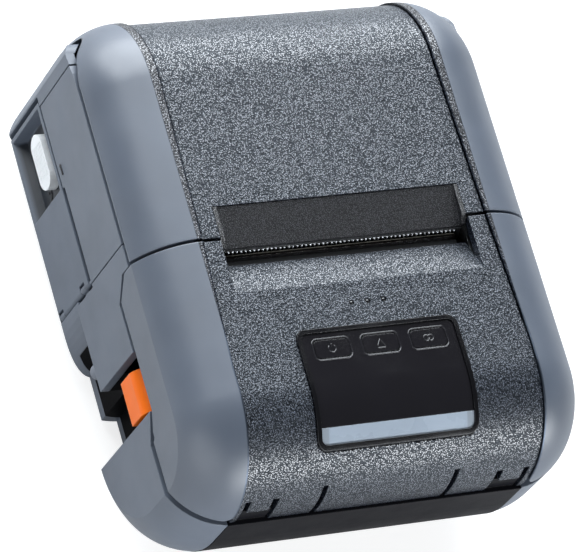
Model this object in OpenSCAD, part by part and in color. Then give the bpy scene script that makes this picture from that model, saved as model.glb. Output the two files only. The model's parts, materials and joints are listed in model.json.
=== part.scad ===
// Portable receipt printer for 58 mm paper, lying on its base.
// X runs across the case (right is +), Y from the front end to the hinge at the rear, Z up.
// The origin is the centre of the base, on the surface that the printer lies on.

/* [Case] */
// Width of the case over both bumpers
case_w = 99.2; // [98.4:0.2:104]
// Length of the case from the front end to the rear end
case_l = 121; // [120:0.5:126]
// Height of the case from the feet to the top
case_h = 61; // [60.5:0.5:63]
// Wall of the moulded shells
wall = 2.2; // [1.8:0.1:2.4]
// Rounding of the front end, upper half
nose_top_r = 22; // [20:0.5:24]
// Rounding of the front end, lower half
nose_low_r = 28; // [26:0.5:29]
// Rounding of the rear end, upper half
tail_top_r = 22; // [21:0.5:24]
// Rounding of the rear end, lower half
tail_low_r = 9; // [8:0.5:10]
// Where the roll cover meets the body
split_y = -2.6; // [-3:0.1:-2]
// Gap of the split between roll cover and body
split_gap = 0.8; // [0.6:0.1:1]
// Gap between two shells of the same assembly
seam_gap = 0.15; // [0.1:0.05:0.3]
// How far the smooth bumpers stand proud of the grained shells
proud = 0.6; // [0.4:0.1:0.9]

/* [Bumpers] */
// Half width of the grained shells at the rear end
seam_rear = 34.4; // [33.5:0.1:35]
// Half width of the grained shells at the split
seam_mid = 35.4; // [35:0.1:36]
// Half width of the grained shells along the front end
seam_front = 36.8; // [36.2:0.1:37.2]
// Radius of the bumper's crown across the case
crown_r = 16.25; // [15.5:0.25:17]
// Height of the bumper's ridge below the top
crown_drop = 9; // [8:0.25:10]
// Gap between a bumper and the side shell below it
bumper_gap = 1.2; // [1:0.1:1.3]

/* [Roll compartment and hinge] */
// Radius of the paper roll's cradle
roll_r = 19.8; // [19:0.2:20]
// Clear width of the cradle
roll_w = 58.6; // [58.2:0.2:59]
// Distance of the roll's axis from the rear end
roll_end = 27.5; // [27:0.25:28]
// Thickness below the cradle's bore
cradle_floor = 1.3; // [1.1:0.1:1.5]
// Radius of the hinge knuckles
knuckle_r = 2.6; // [2.4:0.1:2.8]
// Radius of the hinge pin
hinge_pin_r = 1; // [0.8:0.1:1.1]

/* [Print mechanism] */
// Radius of the platen's rubber
platen_r = 4.5; // [4.2:0.1:4.6]
// Radius of the platen's shaft
shaft_r = 2; // [1.8:0.1:2.2]
// Place of the platen's axis along the case
platen_y = 0.5; // [0.4:0.1:0.6]
// Depth of the platen's axis below the top of the case
platen_drop = 10; // [9.8:0.1:10.2]
// Module of the drive gears
gear_module = 0.6; // [0.58:0.01:0.62]
// Teeth of the platen gear
platen_teeth = 20; // [20:1:21]
// Teeth of the idler gear
idler_teeth = 24; // [24:1:25]
// Teeth of the motor's pinion
pinion_teeth = 12; // [12:1:13]
// Pitch of the tear bar's teeth
tear_pitch = 1.07; // [1:0.01:1.4]
// How far the paper exit reaches past the roll on each side
exit_side = 1.7; // [1.2:0.1:1.9]

/* [Panel] */
// Half width of the glossy panel over its rim
panel_half = 20; // [19:0.1:21]
// Distance of the panel's front edge from the front end
panel_set = 7.7; // [7.5:0.1:8.5]
// Length of the panel over its rim
panel_l = 26.8; // [26.4:0.1:27.2]
// Width of the panel's rim
rim_w = 1; // [0.8:0.1:1.3]
// Length of the silver bar along the panel's front edge
bar_l = 3.5; // [3:0.1:4]
// Distance between two keys
key_pitch = 12; // [11.5:0.5:12.5]

/* [Left side] */
// Front edge of the service opening
door_front = 3; // [2.8:0.1:3.4]
// Distance of the service opening from the rear end
door_end = 11.9; // [11.7:0.1:12.5]
// Distance of the battery opening from the rear end
slot_end = 9.5; // [9.3:0.1:9.7]
// Lower edge of the battery door
door_low = 7.2; // [7:0.1:7.6]
// Line between the battery door and the connector cover
door_mid = 28.9; // [28.5:0.1:29.5]
// Thickness of the battery door and the connector cover
door_t = 1.8; // [1.6:0.1:2]
// Clearance round the battery door and the connector cover
door_gap = 0.35; // [0.3:0.05:0.5]
// Length of the slide knob
knob_l = 13.6; // [12.5:0.1:14]
// Width of the slide knob
knob_w = 6.4; // [6:0.1:7]
// Travel of the battery latch
latch_travel = 2.4; // [2:0.1:2.6]
// Front edge of the lever notch
notch_front = -33.2; // [-33.6:0.1:-32.8]
// Rear edge of the lever notch
notch_rear = -18.8; // [-19.2:0.1:-18.4]
// Top of the finger scoop below the lever
scoop_z = 27.5; // [27:0.1:28]
// Depth of the finger scoop
scoop_depth = 11; // [10.6:0.1:11.4]
// Depth of the strap recess
recess_depth = 6.6; // [6.2:0.1:7]
// Rear edge of the strap recess, whose front edge is the rear edge of the notch
strap_rear = 2; // [1.4:0.1:2.2]
// Top of the strap recess
strap_z = 19.6; // [19:0.1:20]
// Where the curved rear wall of the strap recess ends
recess_rear = -8; // [-8.4:0.1:-7]

/* [Battery] */
// Width of the battery pack along the case
pack_l = 42; // [40:0.5:42]
// Length of the battery pack across the case
pack_w = 70; // [68:0.5:71]
// Thickness of the battery pack
pack_h = 9.6; // [9:0.1:9.8]

/* [Hidden] */

half_w = case_w / 2;
front_y = -case_l / 2;
rear_y = case_l / 2;
door_rear = rear_y - door_end;
slot_rear = rear_y - slot_end;
scoop_x = -half_w + scoop_depth;
recess_x = -half_w + recess_depth;
panel_front = front_y + panel_set;
panel_rear = panel_front + panel_l;
platen_z = case_h - platen_drop;
eps = 0.01;
far = 90;
$fn = 96;

// Centres of the four roundings in the side view
nose_top = [front_y + nose_top_r, case_h - nose_top_r];
nose_low = [front_y + nose_low_r, nose_low_r];
tail_top = [rear_y - tail_top_r, case_h - tail_top_r];
tail_low = [rear_y - tail_low_r, tail_low_r];

// Crown of the bumpers: the circle leaves the top level at crown_x and meets the side at the ridge
crown_x = half_w - sqrt(crown_r * crown_r - (crown_r - crown_drop) * (crown_r - crown_drop));
crown_depth = 21;

// Hinge of the roll cover
hinge_y = rear_y - knuckle_r;
hinge_z = 29.5;
tail_edge_z = hinge_z - knuckle_r - 0.3;
knuckle_in = 15;

// Ear of the side shell beside the hinge
side_top_z = case_h - 10.6;
ear_r = 3.4;
ear_y = rear_y - 8.9;
ear_z = side_top_z - 5;
ear_rear = ear_y + 2.8;

// Line between the bumpers and the side shells, from the split to the front end
body_edge = [[split_y, case_h - 13.4], [split_y - 4.6, case_h - 18.8], [notch_front - 0.2, case_h - 18.6],
    [notch_front - 6.4, case_h - 22.1], [front_y - 1, case_h - 21.6]];
bumper_end_r = 3.5;
front_edge_z = case_h - 23.4;

// Front end details
tab_in = 27.6;
tab_out = 35;
tab_top = case_h - 15.4;
tab_gap = 0.4;
tongue_in = 28.8;
tongue_out = 34.1;
tongue_low = case_h - 19;
groove_x = 16.4;
groove_w = 1.3;
groove_top = case_h - 13;

// Paper exit
exit_half = roll_w / 2 + exit_side;
ramp_front = -15.4;
ramp_rear = -7.1;
ramp_low = case_h - 5;
hood_rear = 5.8;
hood_half = exit_half - 0.2;
hood_t = 1.4;
tear_y = -3.4;
tear_z = case_h - 3.8;
light_y = (ramp_front + panel_rear) / 2 + 0.2;
tear_half = exit_half - 0.6;

// Drive train: the idler lies opposite to the way the platen leaves when the cover opens
lift_angle = atan2(hinge_y - platen_y, platen_z - hinge_z);
idler_angle = lift_angle + 180;
idler_gap = gear_module * (platen_teeth + idler_teeth) / 2;
idler_pos = [platen_y + idler_gap * cos(idler_angle), platen_z + idler_gap * sin(idler_angle)];
pinion_angle = 245;
pinion_gap = gear_module * (idler_teeth + pinion_teeth) / 2;
pinion_pos = [idler_pos[0] + pinion_gap * cos(pinion_angle), idler_pos[1] + pinion_gap * sin(pinion_angle)];
motor_r = 9.4;
frame_z = pinion_pos[1] - motor_r - 1.85;
gear_w = 2.6;

// Widths of the print unit, which follow the width of the roll
platen_half = roll_w / 2 - 0.1;
bush_r = 3.2;
bush_in = roll_w / 2 + 1.1;
bush_out = bush_in + 3;
arm_t = 1.2;
frame_in = bush_in + 1.6;
frame_t = 1.2;
gear_x = frame_in + 2;
fit_gap = 0.05;
bridge_y = -11.6;
frame_foot_y = -2;

// Release lever: its bar, the studs that guide it and its spring
lever_travel = 2.2;
bar_x = -frame_in - 4.6;
bar_t = 1.6;
bar_top = platen_z - 5;
bar_low = platen_z - 12.5;
thumb_top = case_h - 22.6;
bar_spring_y = -10;
tab_z = platen_z - 1;
stud_y = [-13.4, -6.6];
stud_z = platen_z - 7.1;
stud_r = 1;

tray_top = case_h - 14;
shelf_z = tray_top - 2.4;
pack_y = (door_front + door_rear) / 2;
pack_z = door_low + 0.5;
cradle_base = pack_z + pack_h + 0.2;
roll_y = rear_y - roll_end;
roll_z = cradle_base + cradle_floor + roll_r;
foot_h = 0.6;
base_recess = 0.3;
foot_y = [front_y + 30.5, rear_y - 14.5];

// Main board: its front edge follows the lower rounding of the front end
board_z = frame_z - 5.4;
board_front = nose_low[0] - sqrt(pow(nose_low_r - wall, 2) - pow(nose_low_r - board_z, 2)) + 2.9;
board_rear = -8;
board_t = 1.6;
board_holes = [board_front + 6, board_rear - 4];
screw_l = board_t + 0.44 * (board_z - wall);

// Connector board and its two sockets, from the left side inwards
socket_x = -half_w + 2.4;
socket_board_x = -half_w + 10.2;
pin_r = 0.5;

// Edge and knuckles of the battery door, and the pin of the connector cover
edge_r = door_t / 2;
pin_x = -half_w + edge_r;
pin_y = door_front + door_gap + edge_r;
knuckle_z = [9.4, 23.6];
knuckle_h = 2.6;
pin_low = knuckle_z[0] + 0.6;
pin_high = knuckle_z[1] + knuckle_h;
cover_pin_x = -half_w + 1.3;
cover_pin_z = side_top_z - 3.4;
latch_y = slot_rear - 12.6;
latch_z = 20.5;
latch_x = -half_w + 4.5;
pack_x = -half_w + 4.8;

// A side-view outline, extruded across the case from x0 to x1
module along_x(x0, x1) {
    translate([x0, 0, 0]) rotate([90, 0, 90]) linear_extrude(x1 - x0) children();
}

// A section whose first axis is height and whose second is width, extruded along the case from y0 to y1
module along_y(y0, y1) {
    translate([0, y0, 0]) rotate([90, 0, 90]) rotate([90, 0, 90]) linear_extrude(y1 - y0) children();
}

// A section whose first axis points outward, turned a quarter about a rounding's centre.
// Quarter 0 goes from the base to the rear, 1 from the rear to the top, 2 to the front, 3 to the base.
module round_corner(centre, quarter) {
    translate([0, centre[0], centre[1]]) rotate([0, 90, 0]) rotate([0, 0, 90 * quarter])
        rotate_extrude(angle = 90) children();
}

module mirrored_pair() {
    children();
    mirror([1, 0, 0]) children();
}

// Rectangle in the side view, given by two corners
module box_yz(y0, y1, z0, z1) {
    translate([y0, z0]) square([y1 - y0, z1 - z0]);
}

module block(a, b) {
    translate(a) cube([b[0] - a[0], b[1] - a[1], b[2] - a[2]]);
}

// Corner to take off an outline: a square at the outer corner, less the rounding's circle
module corner_off(centre, r, dy, dz, d) {
    difference() {
        translate([centre[0] + (dy < 0 ? -r - 1 : 0), centre[1] + (dz < 0 ? -r - 1 : 0)]) square(r + 1);
        translate(centre) circle(r = r - d);
    }
}

// Side view of the case, inset by d
module side_outline(d = 0) {
    difference() {
        box_yz(front_y + d, rear_y - d, d, case_h - d);
        corner_off(nose_top, nose_top_r, -1, 1, d);
        corner_off(nose_low, nose_low_r, -1, -1, d);
        corner_off(tail_top, tail_top_r, 1, 1, d);
        corner_off(tail_low, tail_low_r, 1, -1, d);
    }
}

// Side view of the wall between two insets
module side_skin(d0, d1) {
    difference() {
        side_outline(d0);
        side_outline(d1);
    }
}

// Half width of the grained shells at a place along the case, less a gap
module centre_plan(gap) {
    right = [[seam_front - gap, front_y - 1], [seam_front - gap, front_y + 27.5], [seam_mid - gap, split_y],
        [seam_rear - gap, rear_y - 24], [seam_rear - gap, rear_y + 1]];
    polygon(concat(right, [for (i = [len(right) - 1:-1:0]) [-right[i][0], right[i][1]]]));
}

module centre_zone(gap) {
    translate([0, 0, -1]) linear_extrude(case_h + 2) centre_plan(gap);
}

// Section of the outer shells: first axis outward, second across the case. The crown lies above the
// ridge, and below it the side is straight.
module crown_section(top, d, depth) {
    width = half_w - crown_x + 12;
    intersection() {
        translate([top - depth, crown_x - 12]) square([depth - d, width - d]);
        union() {
            translate([top - crown_r, crown_x]) circle(r = crown_r - d);
            translate([top - depth - crown_r, crown_x - 12]) square([depth, width]);
        }
    }
}

// Right bumper along the top and both ends, inset by d
module crown_body(d, depth) {
    along_y(nose_top[0], tail_top[0]) crown_section(case_h, d, depth);
    round_corner(nose_top, 2) crown_section(nose_top_r, d, depth);
    round_corner(tail_top, 1) crown_section(tail_top_r, d, depth);
    translate([0, 0, 20]) linear_extrude(nose_top[1] - 20) rotate(-90) crown_section(-front_y, d, depth);
    translate([0, 0, 20]) linear_extrude(tail_top[1] - 20) mirror([1, -1]) crown_section(rear_y, d, depth);
}

module crown_shell() {
    difference() {
        crown_body(0, crown_depth);
        crown_body(wall, crown_depth + 0.9);
        centre_zone(0);
    }
}

// Right side shell as a filled body, inset by d
module skirt_body(d) {
    mirror([0, 0, 1]) along_y(nose_low[0], tail_low[0]) crown_section(0, d, 54);
    round_corner(nose_low, 3) crown_section(nose_low_r, d, nose_low_r);
    round_corner(tail_low, 0) crown_section(tail_low_r, d, tail_low_r);
    translate([0, 0, nose_low[1]]) linear_extrude(20) rotate(-90) crown_section(-front_y, d, nose_low_r);
    translate([0, 0, tail_low[1]]) linear_extrude(45) mirror([1, -1]) crown_section(rear_y, d, tail_low_r);
}

// Top line of the side shells in the side view, raised by m
function side_line(m) = [[ear_y - 11.6, side_top_z + m], [ear_y - 5.6, side_top_z - 0.4 + m],
    [ear_y - 2.8, ear_z + ear_r + 0.4 + m], [ear_y, ear_z + ear_r + m], [ear_y, -1]];

// Ear in front of the hinge, widened by m
module ear(m) {
    intersection() {
        box_yz(ear_y - 1, ear_rear + m, 0, case_h);
        union() {
            box_yz(ear_y - 2, rear_y, -1, ear_z);
            translate([ear_y, ear_z]) circle(r = ear_r + m);
        }
    }
}

// Side view below the seam of the roll cover, with the ear; m widens it
module side_top(m) {
    polygon(concat([[-20, -1], [-20, side_top_z + m]], side_line(m)));
    ear(m);
}

// Side view of what the side shells may fill
module side_zone() {
    lower = [for (p = body_edge)
        [p[0] + (p[0] == split_y ? 0.3 : 0), p[1] - bumper_gap - (p[0] < notch_front - 1 ? 0.8 : 0)]];
    polygon(concat([[front_y - 1, -1], [front_y - 1, front_edge_z - 2.1]],
        [for (i = [len(lower) - 1:-1:0]) lower[i]], [[lower[0][0], side_top_z]], side_line(0)));
    ear(0);
    box_yz(ear_y, rear_y + 1, -1, tail_edge_z - 0.3);
}

// Side view of what the body's bumpers may fill
module body_bumper_zone() {
    polygon(concat([[front_y - 1, case_h + 1], [split_y, case_h + 1]], body_edge));
}

// Side view of what the roll cover's bumpers may fill, down to the half round at the hinge
module cover_zone() {
    difference() {
        union() {
            box_yz(split_y + split_gap, rear_y + 1, hinge_z, case_h + 1);
            translate([hinge_y, hinge_z]) circle(r = knuckle_r);
        }
        side_top(bumper_gap);
    }
}

module right_side_shell() {
    intersection() {
        difference() {
            skirt_body(0);
            skirt_body(wall);
            translate([0, -far, -1]) cube([seam_front + seam_gap, 2 * far, far]);
        }
        along_x(0, far) side_zone();
    }
}

module bottom_case() {
    color([0.11, 0.11, 0.12]) {
        difference() {
            union() {
                intersection() {
                    along_x(-seam_front, seam_front) side_skin(0, wall);
                    along_x(-far, far) {
                        box_yz(front_y - 1, 0, -1, front_edge_z - 0.4);
                        box_yz(-1, rear_y + 1, -1, tail_edge_z - 0.3);
                    }
                }
                // Tabs that reach up into the front cover, behind its two tongues
                mirrored_pair() intersection() {
                    along_x(tab_in, tab_out) side_skin(1.2, wall + 0.6);
                    along_x(-far, far) box_yz(front_y - 1, 0, front_edge_z - 2, tongue_low - 0.3);
                }
                // Runners below the battery pack
                for (y = [pack_y - 16, pack_y, pack_y + 16])
                    block([-seam_front + 4, y - 1, wall - eps], [pack_x + pack_w - 1.2, y + 1, pack_z - 0.1]);
                // Posts of the print unit
                for (x = [-24, 24])
                    translate([x, frame_foot_y, wall - eps]) cylinder(h = frame_z - wall, r = 2.8);
                // Knuckles of the hinge, and the cheeks that carry them
                mirrored_pair() along_x(6, knuckle_in - 0.2) union() {
                    translate([hinge_y, hinge_z]) circle(r = knuckle_r - proud);
                    box_yz(hinge_y - 1.6, rear_y - wall + eps, 20, hinge_z);
                    box_yz(hinge_y - 1.6, hinge_y + 1.6, 20, hinge_z);
                }
                // Posts of the main board
                for (x = [-30, 30], y = board_holes)
                    translate([x, y, wall - eps]) cylinder(h = board_z - wall, r = 2.2);
            }
            for (x = [-30, 30], y = board_holes)
                translate([x, y, board_z + board_t - screw_l - 0.5]) cylinder(h = board_z, r = 0.9);
            for (x = [-26, 26], y = foot_y)
                translate([x, y, -eps]) cylinder(h = base_recess + foot_h, r = 4);
            block([-33, nose_low[0] + 0.1, -1], [33, tail_low[0] - 0.1, base_recess]);
            along_x(-knuckle_in, knuckle_in) translate([hinge_y, hinge_z]) circle(r = hinge_pin_r);
        }
    }
}

// Ring behind the joints between the bumpers, the front cover and the side shells
module mid_frame() {
    z0 = nose_low[1] + 3;
    color([0.09, 0.09, 0.1]) difference() {
        union() {
            mirrored_pair() intersection() {
                difference() {
                    crown_body(wall + 0.1, crown_depth);
                    crown_body(wall + 1.3, crown_depth + 0.9);
                    translate([0, -far, 0]) cube([seam_front + 0.1, 2 * far, far]);
                }
                along_x(0, far) box_yz(front_y, split_y - 1, z0, case_h - 12);
            }
            y = front_y + proud + wall;
            block([-seam_front - 1, y + 0.1, z0], [seam_front + 1, y + 1.3, nose_top[1]]);
        }
        block([-far, notch_front - 1.4, 0], [-half_w + 9, 0, far]);
    }
}

// Plan of the strap recess, widened by m: its rear wall is a quarter ellipse that starts flush with the side
module strap_plan(m) {
    bend = strap_rear - recess_rear;
    ellipse = [for (a = [0:10:90])
        [-half_w - 0.01 + (recess_x + half_w) * (1 - cos(a)) + m, strap_rear + m - bend * sin(a)]];
    polygon(concat([[-far, strap_rear + m]], ellipse,
        [[recess_x + m, notch_rear - m], [-far, notch_rear - m]]));
}

// Space of the finger scoop below the lever, widened by m
module scoop_space(m) {
    block([-far, notch_front - m, -1], [scoop_x + m, notch_rear + m, scoop_z + m]);
}

module strap_space(m) {
    translate([0, 0, -1]) linear_extrude(strap_z + m + 1) strap_plan(m);
}

// Dark insert behind the left side shell that lines the finger scoop and the strap recess
module recess_liner() {
    t = 1.4;
    color([0.05, 0.05, 0.06]) difference() {
        intersection() {
            mirror([1, 0, 0]) skirt_body(wall);
            union() {
                scoop_space(t);
                strap_space(t);
            }
        }
        scoop_space(0);
        strap_space(0);
        block([-far, notch_front, scoop_z - 1], [scoop_x + 2 * t, notch_rear, far]);
    }
}

module left_side_case() {
    inner = -half_w + wall;
    color([0.42, 0.46, 0.51]) {
        difference() {
            union() {
                difference() {
                    mirror([1, 0, 0]) right_side_shell();
                    block([-far, door_front, door_low], [inner + 0.5, slot_rear, door_mid]);
                    block([-far, door_front, door_mid - eps], [inner + 0.5, door_rear, side_top_z + 1]);
                    // Wider stretch of the seam in front of the battery door
                    block([-far, door_front - 0.8, 20.7], [inner + 0.5, door_front + eps, 30.3]);
                }
                // Rail between the battery door and the connector cover
                block([inner, door_front - 1, door_mid - 1.3], [inner + 1.4, slot_rear + 1, door_mid + 1.1]);
                // Shelf of the connector board
                block([inner + 1.3, 8, door_mid + 0.1], [socket_board_x + 2, 33, door_mid + 1.1]);
                // Knuckles of the battery door
                for (z = knuckle_z) intersection() {
                    translate([0, 0, z]) cylinder(h = knuckle_h, r = far);
                    union() {
                        translate([pin_x, pin_y, 0]) cylinder(h = far, r = edge_r);
                        block([pin_x, door_front - 1, 0], [-half_w + door_t, pin_y, far]);
                    }
                }
                // Keeper of the latch
                difference() {
                    block([inner - 0.1, slot_rear + 0.2, 13], [inner + 5.3, slot_rear + 1.8, door_mid - 2]);
                    block([latch_x - 0.6, slot_rear - 1, latch_z - 3],
                        [latch_x + 2, slot_rear + 3, latch_z + 3]);
                }
            }
            scoop_space(0);
            block([-far, notch_front, scoop_z - 1], [inner + 9, notch_rear, case_h - 16]);
            strap_space(0);
            translate([pin_x, pin_y, pin_low]) cylinder(h = pin_high + 1 - pin_low, r = pin_r);
            translate([cover_pin_x, door_front - 1.6, cover_pin_z]) rotate([-90, 0, 0])
                cylinder(h = door_rear - door_front + 3.2, r = pin_r);
        }
    }
}

module right_side_case() {
    inner = half_w - wall;
    color([0.42, 0.46, 0.51]) {
        right_side_shell();
        // Stiffening rib, level with the rail of the left side
        block([inner - 1.4, door_front - 1, door_mid - 1.3], [inner + 0.1, slot_rear + 1, door_mid + 1.1]);
    }
}

// A straight-sided plan with rounded corners that keeps true arcs
module rounded_plan(x0, x1, y0, y1, r) {
    translate([x0 + r, y0]) square([x1 - x0 - 2 * r, y1 - y0]);
    translate([x0, y0 + r]) square([x1 - x0, y1 - y0 - 2 * r]);
    for (x = [x0 + r, x1 - r], y = [y0 + r, y1 - r])
        translate([x, y]) circle(r = r);
}

module panel_prism(inset) {
    translate([0, 0, 40]) linear_extrude(30)
        rounded_plan(-panel_half + inset, panel_half - inset, panel_front + inset, panel_rear - inset,
            2.4 - inset);
}

module front_cover() {
    color([0.27, 0.28, 0.32]) difference() {
        intersection() {
            along_x(-far, far) side_skin(proud, proud + wall);
            centre_zone(seam_gap);
            along_x(-far, far) box_yz(front_y - 1, split_y, front_edge_z, case_h + 1);
        }
        // Paper exit: a ramp down to the gap in front of the tear bar
        along_x(-exit_half, exit_half)
            polygon([[ramp_front, case_h + 1], [ramp_front, case_h - proud], [ramp_rear, ramp_low],
                [ramp_rear, case_h - 16], [split_y + 1, case_h - 16], [split_y + 1, case_h + 1]]);
        panel_prism(-0.1);
        for (x = [-4, 0, 4])
            translate([x, light_y, case_h - 6]) cylinder(h = 8, r = 0.65);
        // Grooves and notches at the lower front edge
        for (x = [-groove_x, groove_x])
            block([x - groove_w / 2, front_y - 1, front_edge_z - 1],
                [x + groove_w / 2, front_y + 3.4, groove_top]);
        mirrored_pair() difference() {
            block([tab_in - tab_gap, front_y - 1, front_edge_z - 1],
                [tab_out + tab_gap, front_y + 12, tab_top + 0.3]);
            block([tongue_in, front_y - 2, tongue_low], [tongue_out, front_y + 13, tab_top + 1]);
        }
    }
    // Ramp plate below the exit
    color([0.27, 0.28, 0.32]) along_x(-exit_half, exit_half)
        polygon([[ramp_front, case_h - proud], [ramp_rear, ramp_low], [ramp_rear, ramp_low - 1.5],
            [ramp_front - 1, case_h - proud - 2.1], [ramp_front - 1, case_h - proud]]);
}

module body_bumper() {
    difference() {
        intersection() {
            crown_shell();
            along_x(0, far) body_bumper_zone();
        }
        // Rounded inner corner of the lower end
        along_y(front_y - 1, front_y + 12.5) translate([body_edge[4][1] - 0.3, seam_front]) difference() {
            translate([-1, -1]) square(bumper_end_r + 1);
            translate([bumper_end_r, bumper_end_r]) circle(r = bumper_end_r);
        }
    }
}

module left_bumper() {
    color([0.47, 0.52, 0.57]) mirror([1, 0, 0]) body_bumper();
}

module right_bumper() {
    color([0.47, 0.52, 0.57]) body_bumper();
}

// Cradle of the paper roll: a trough with two cheeks, a shelf in front and two legs behind
module roll_tray() {
    t = 1.4;
    color([0.16, 0.16, 0.17]) {
        difference() {
            intersection() {
                along_x(-roll_w / 2 - t, roll_w / 2 + t) union() {
                    translate([roll_y, roll_z]) circle(r = roll_r + 1.2);
                    box_yz(roll_y - roll_r - 1.2, roll_y + roll_r + 1.2, roll_z, tray_top);
                    box_yz(platen_y + platen_r + 2.2, roll_y, shelf_z, tray_top);
                }
                block([-far, -far, cradle_base], [far, far, tray_top]);
            }
            along_x(-roll_w / 2, roll_w / 2) union() {
                translate([roll_y, roll_z]) circle(r = roll_r);
                box_yz(roll_y - roll_r, roll_y + roll_r, roll_z, far);
                box_yz(roll_y - roll_r - 7, roll_y, tray_top - 1, far);
            }
        }
        mirrored_pair() block([roll_w / 2, pack_y + pack_l / 2 + 1, wall],
            [roll_w / 2 + t, tail_low[0] - 0.3, roll_z - 8]);
    }
}

// Gear outline: trapezoid teeth with some backlash
module gear_outline(teeth, phase) {
    rp = gear_module * teeth / 2;
    rt = rp + gear_module * 0.9;
    rr = rp - gear_module * 1.1;
    pitch = 360 / teeth;
    rotate(phase) union() {
        circle(r = rr);
        for (i = [0:teeth - 1])
            rotate(i * pitch)
                polygon([[rr - 0.3, -rr * sin(pitch * 0.30)], [rp, -rp * sin(pitch * 0.21)], [rt, -rt * sin(pitch * 0.11)],
                    [rt, rt * sin(pitch * 0.11)], [rp, rp * sin(pitch * 0.21)], [rr - 0.3, rr * sin(pitch * 0.30)]]);
    }
}

platen_phase = idler_angle;
idler_phase = idler_angle + 180 + 180 / idler_teeth;
pinion_phase = pinion_angle + 180 + 180 / pinion_teeth + (pinion_angle - idler_phase) * idler_teeth / pinion_teeth;

// Bracket of bent sheet: two cheeks with slots for the platen's bushes, joined by a foot and a bridge
module head_frame() {
    color([0.62, 0.64, 0.66]) {
        difference() {
            for (x = [-frame_in - frame_t, frame_in])
                along_x(x, x + frame_t)
                    polygon([[-16, frame_z], [-16, platen_z - 3], [-12.6, platen_z + 4.4], [6, platen_z + 4.4],
                        [8, platen_z + 2], [8, platen_z - 15], [2, frame_z]]);
            along_x(-far, far) union() {
                translate([platen_y, platen_z]) circle(r = bush_r + 0.3);
                translate([platen_y, platen_z]) rotate(lift_angle)
                    polygon([[0, -bush_r - 0.3], [0, bush_r + 0.3], [9, bush_r + 1.6], [9, -bush_r - 0.8]]);
            }
            along_x(20, far) translate(pinion_pos) circle(r = gear_module * pinion_teeth / 2 + 1.4);
        }
        difference() {
            block([-frame_in - eps, frame_foot_y - 4, frame_z], [frame_in + eps, frame_foot_y + 4, frame_z + frame_t]);
            for (x = [-24, 24])
                translate([x, frame_foot_y, frame_z - 1]) cylinder(h = 5, r = 1.2);
        }
        // Tab above the spring of the release lever
        block([bar_x - 0.8, bar_spring_y - 2.2, tab_z], [-frame_in - frame_t + eps, bar_spring_y + 2.2, tab_z + 1]);
        block([-frame_in - eps, bridge_y - 1, platen_z - 4], [frame_in + eps, bridge_y, platen_z + 3.6]);
    }
}

module print_head() {
    color([0.86, 0.84, 0.78])
        block([0.2 - platen_half, platen_y - platen_r - 1.1, platen_z - 7],
            [platen_half - 0.2, platen_y - platen_r - 0.3, platen_z + 4.6]);
    color([0.2, 0.2, 0.2])
        block([-12, platen_y - platen_r - 1.1, platen_z - 10], [12, platen_y - platen_r - 0.3, platen_z - 7 + eps]);
}

module heat_sink() {
    y1 = platen_y - platen_r - 1.1;
    color([0.7, 0.72, 0.74]) difference() {
        block([2 - frame_in, y1 - 3, platen_z - 8.4], [frame_in - 2, y1, platen_z + 2.8]);
        for (i = [-6:6])
            block([i * 4.4 - 1, y1 - 4, platen_z - 5], [i * 4.4 + 1, y1 - 1.2, platen_z + 5]);
    }
}

// Coil of wire along Z: a tube swept on a helix, closed at both ends
module coil(r, wire, turns, length) {
    steps = 12;
    sides = 6;
    n = turns * steps;
    function centre(i) = [r * cos(360 * i / steps), r * sin(360 * i / steps), wire + (length - 2 * wire) * i / n];
    function ring(i) = [for (j = [0:sides - 1])
        centre(i) + wire * [cos(360 * i / steps) * cos(60 * j), sin(360 * i / steps) * cos(60 * j), sin(60 * j)]];
    points = [for (i = [0:n]) each ring(i)];
    faces = concat([[for (j = [sides - 1:-1:0]) j]],
        [for (i = [0:n - 1], j = [0:sides - 1], k = [0, 1])
            let(a = i * sides + j, b = i * sides + (j + 1) % sides)
            k == 0 ? [a, b, a + sides] : [b, b + sides, a + sides]],
        [[for (j = [0:sides - 1]) n * sides + j]]);
    polyhedron(points = points, faces = faces);
}

module head_springs() {
    y1 = platen_y - platen_r - 4.1;
    color([0.75, 0.76, 0.78]) for (x = [-15.4, 15.4])
        translate([x, y1, platen_z]) rotate([90, 0, 0]) coil(1.6, 0.3, 3, y1 - bridge_y);
}

module stepper_motor() {
    color([0.55, 0.57, 0.6]) {
        along_x(8, frame_in - 1.5) translate(pinion_pos) circle(r = motor_r);
        along_x(frame_in - 1.5, frame_in - 0.3) union() {
            translate(pinion_pos) circle(r = motor_r);
            translate([pinion_pos[0] - 12.4, pinion_pos[1] - 3]) square([24.8, 6]);
        }
    }
}

module motor_pinion() {
    color([0.8, 0.68, 0.35]) {
        along_x(gear_x - 0.4, gear_x + gear_w + 0.4) translate(pinion_pos) gear_outline(pinion_teeth, pinion_phase);
        along_x(frame_in, gear_x) translate(pinion_pos) circle(r = 1);
    }
}

module idler_gear() {
    color([0.88, 0.88, 0.84]) along_x(gear_x, gear_x + gear_w) translate(idler_pos) difference() {
        gear_outline(idler_teeth, idler_phase);
        circle(r = 1.5 + fit_gap);
    }
}

module idler_stud() {
    color([0.7, 0.72, 0.74]) {
        along_x(frame_in + frame_t, gear_x + gear_w + 0.3) translate(idler_pos) circle(r = 1.5);
        along_x(gear_x + gear_w + 0.3, gear_x + gear_w + 0.9) translate(idler_pos) circle(r = 2.2);
    }
}

module main_board() {
    top = board_z + board_t - eps;
    color([0.1, 0.35, 0.22]) difference() {
        block([-33, board_front, board_z], [33, board_rear, board_z + board_t]);
        for (x = [-30, 30], y = board_holes)
            translate([x, y, board_z - 1]) cylinder(h = 4, r = 1.2);
    }
    color([0.12, 0.12, 0.13]) {
        block([-12, board_front + 10, top], [2, board_front + 24, board_z + 3]);
        block([8, board_front + 6, top], [22, board_front + 16, board_z + 3.4]);
        for (i = [0:3])
            translate([-24, board_front + 8 + i * 8, top]) cylinder(h = 4.5, r = 2.5);
    }
}

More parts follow.
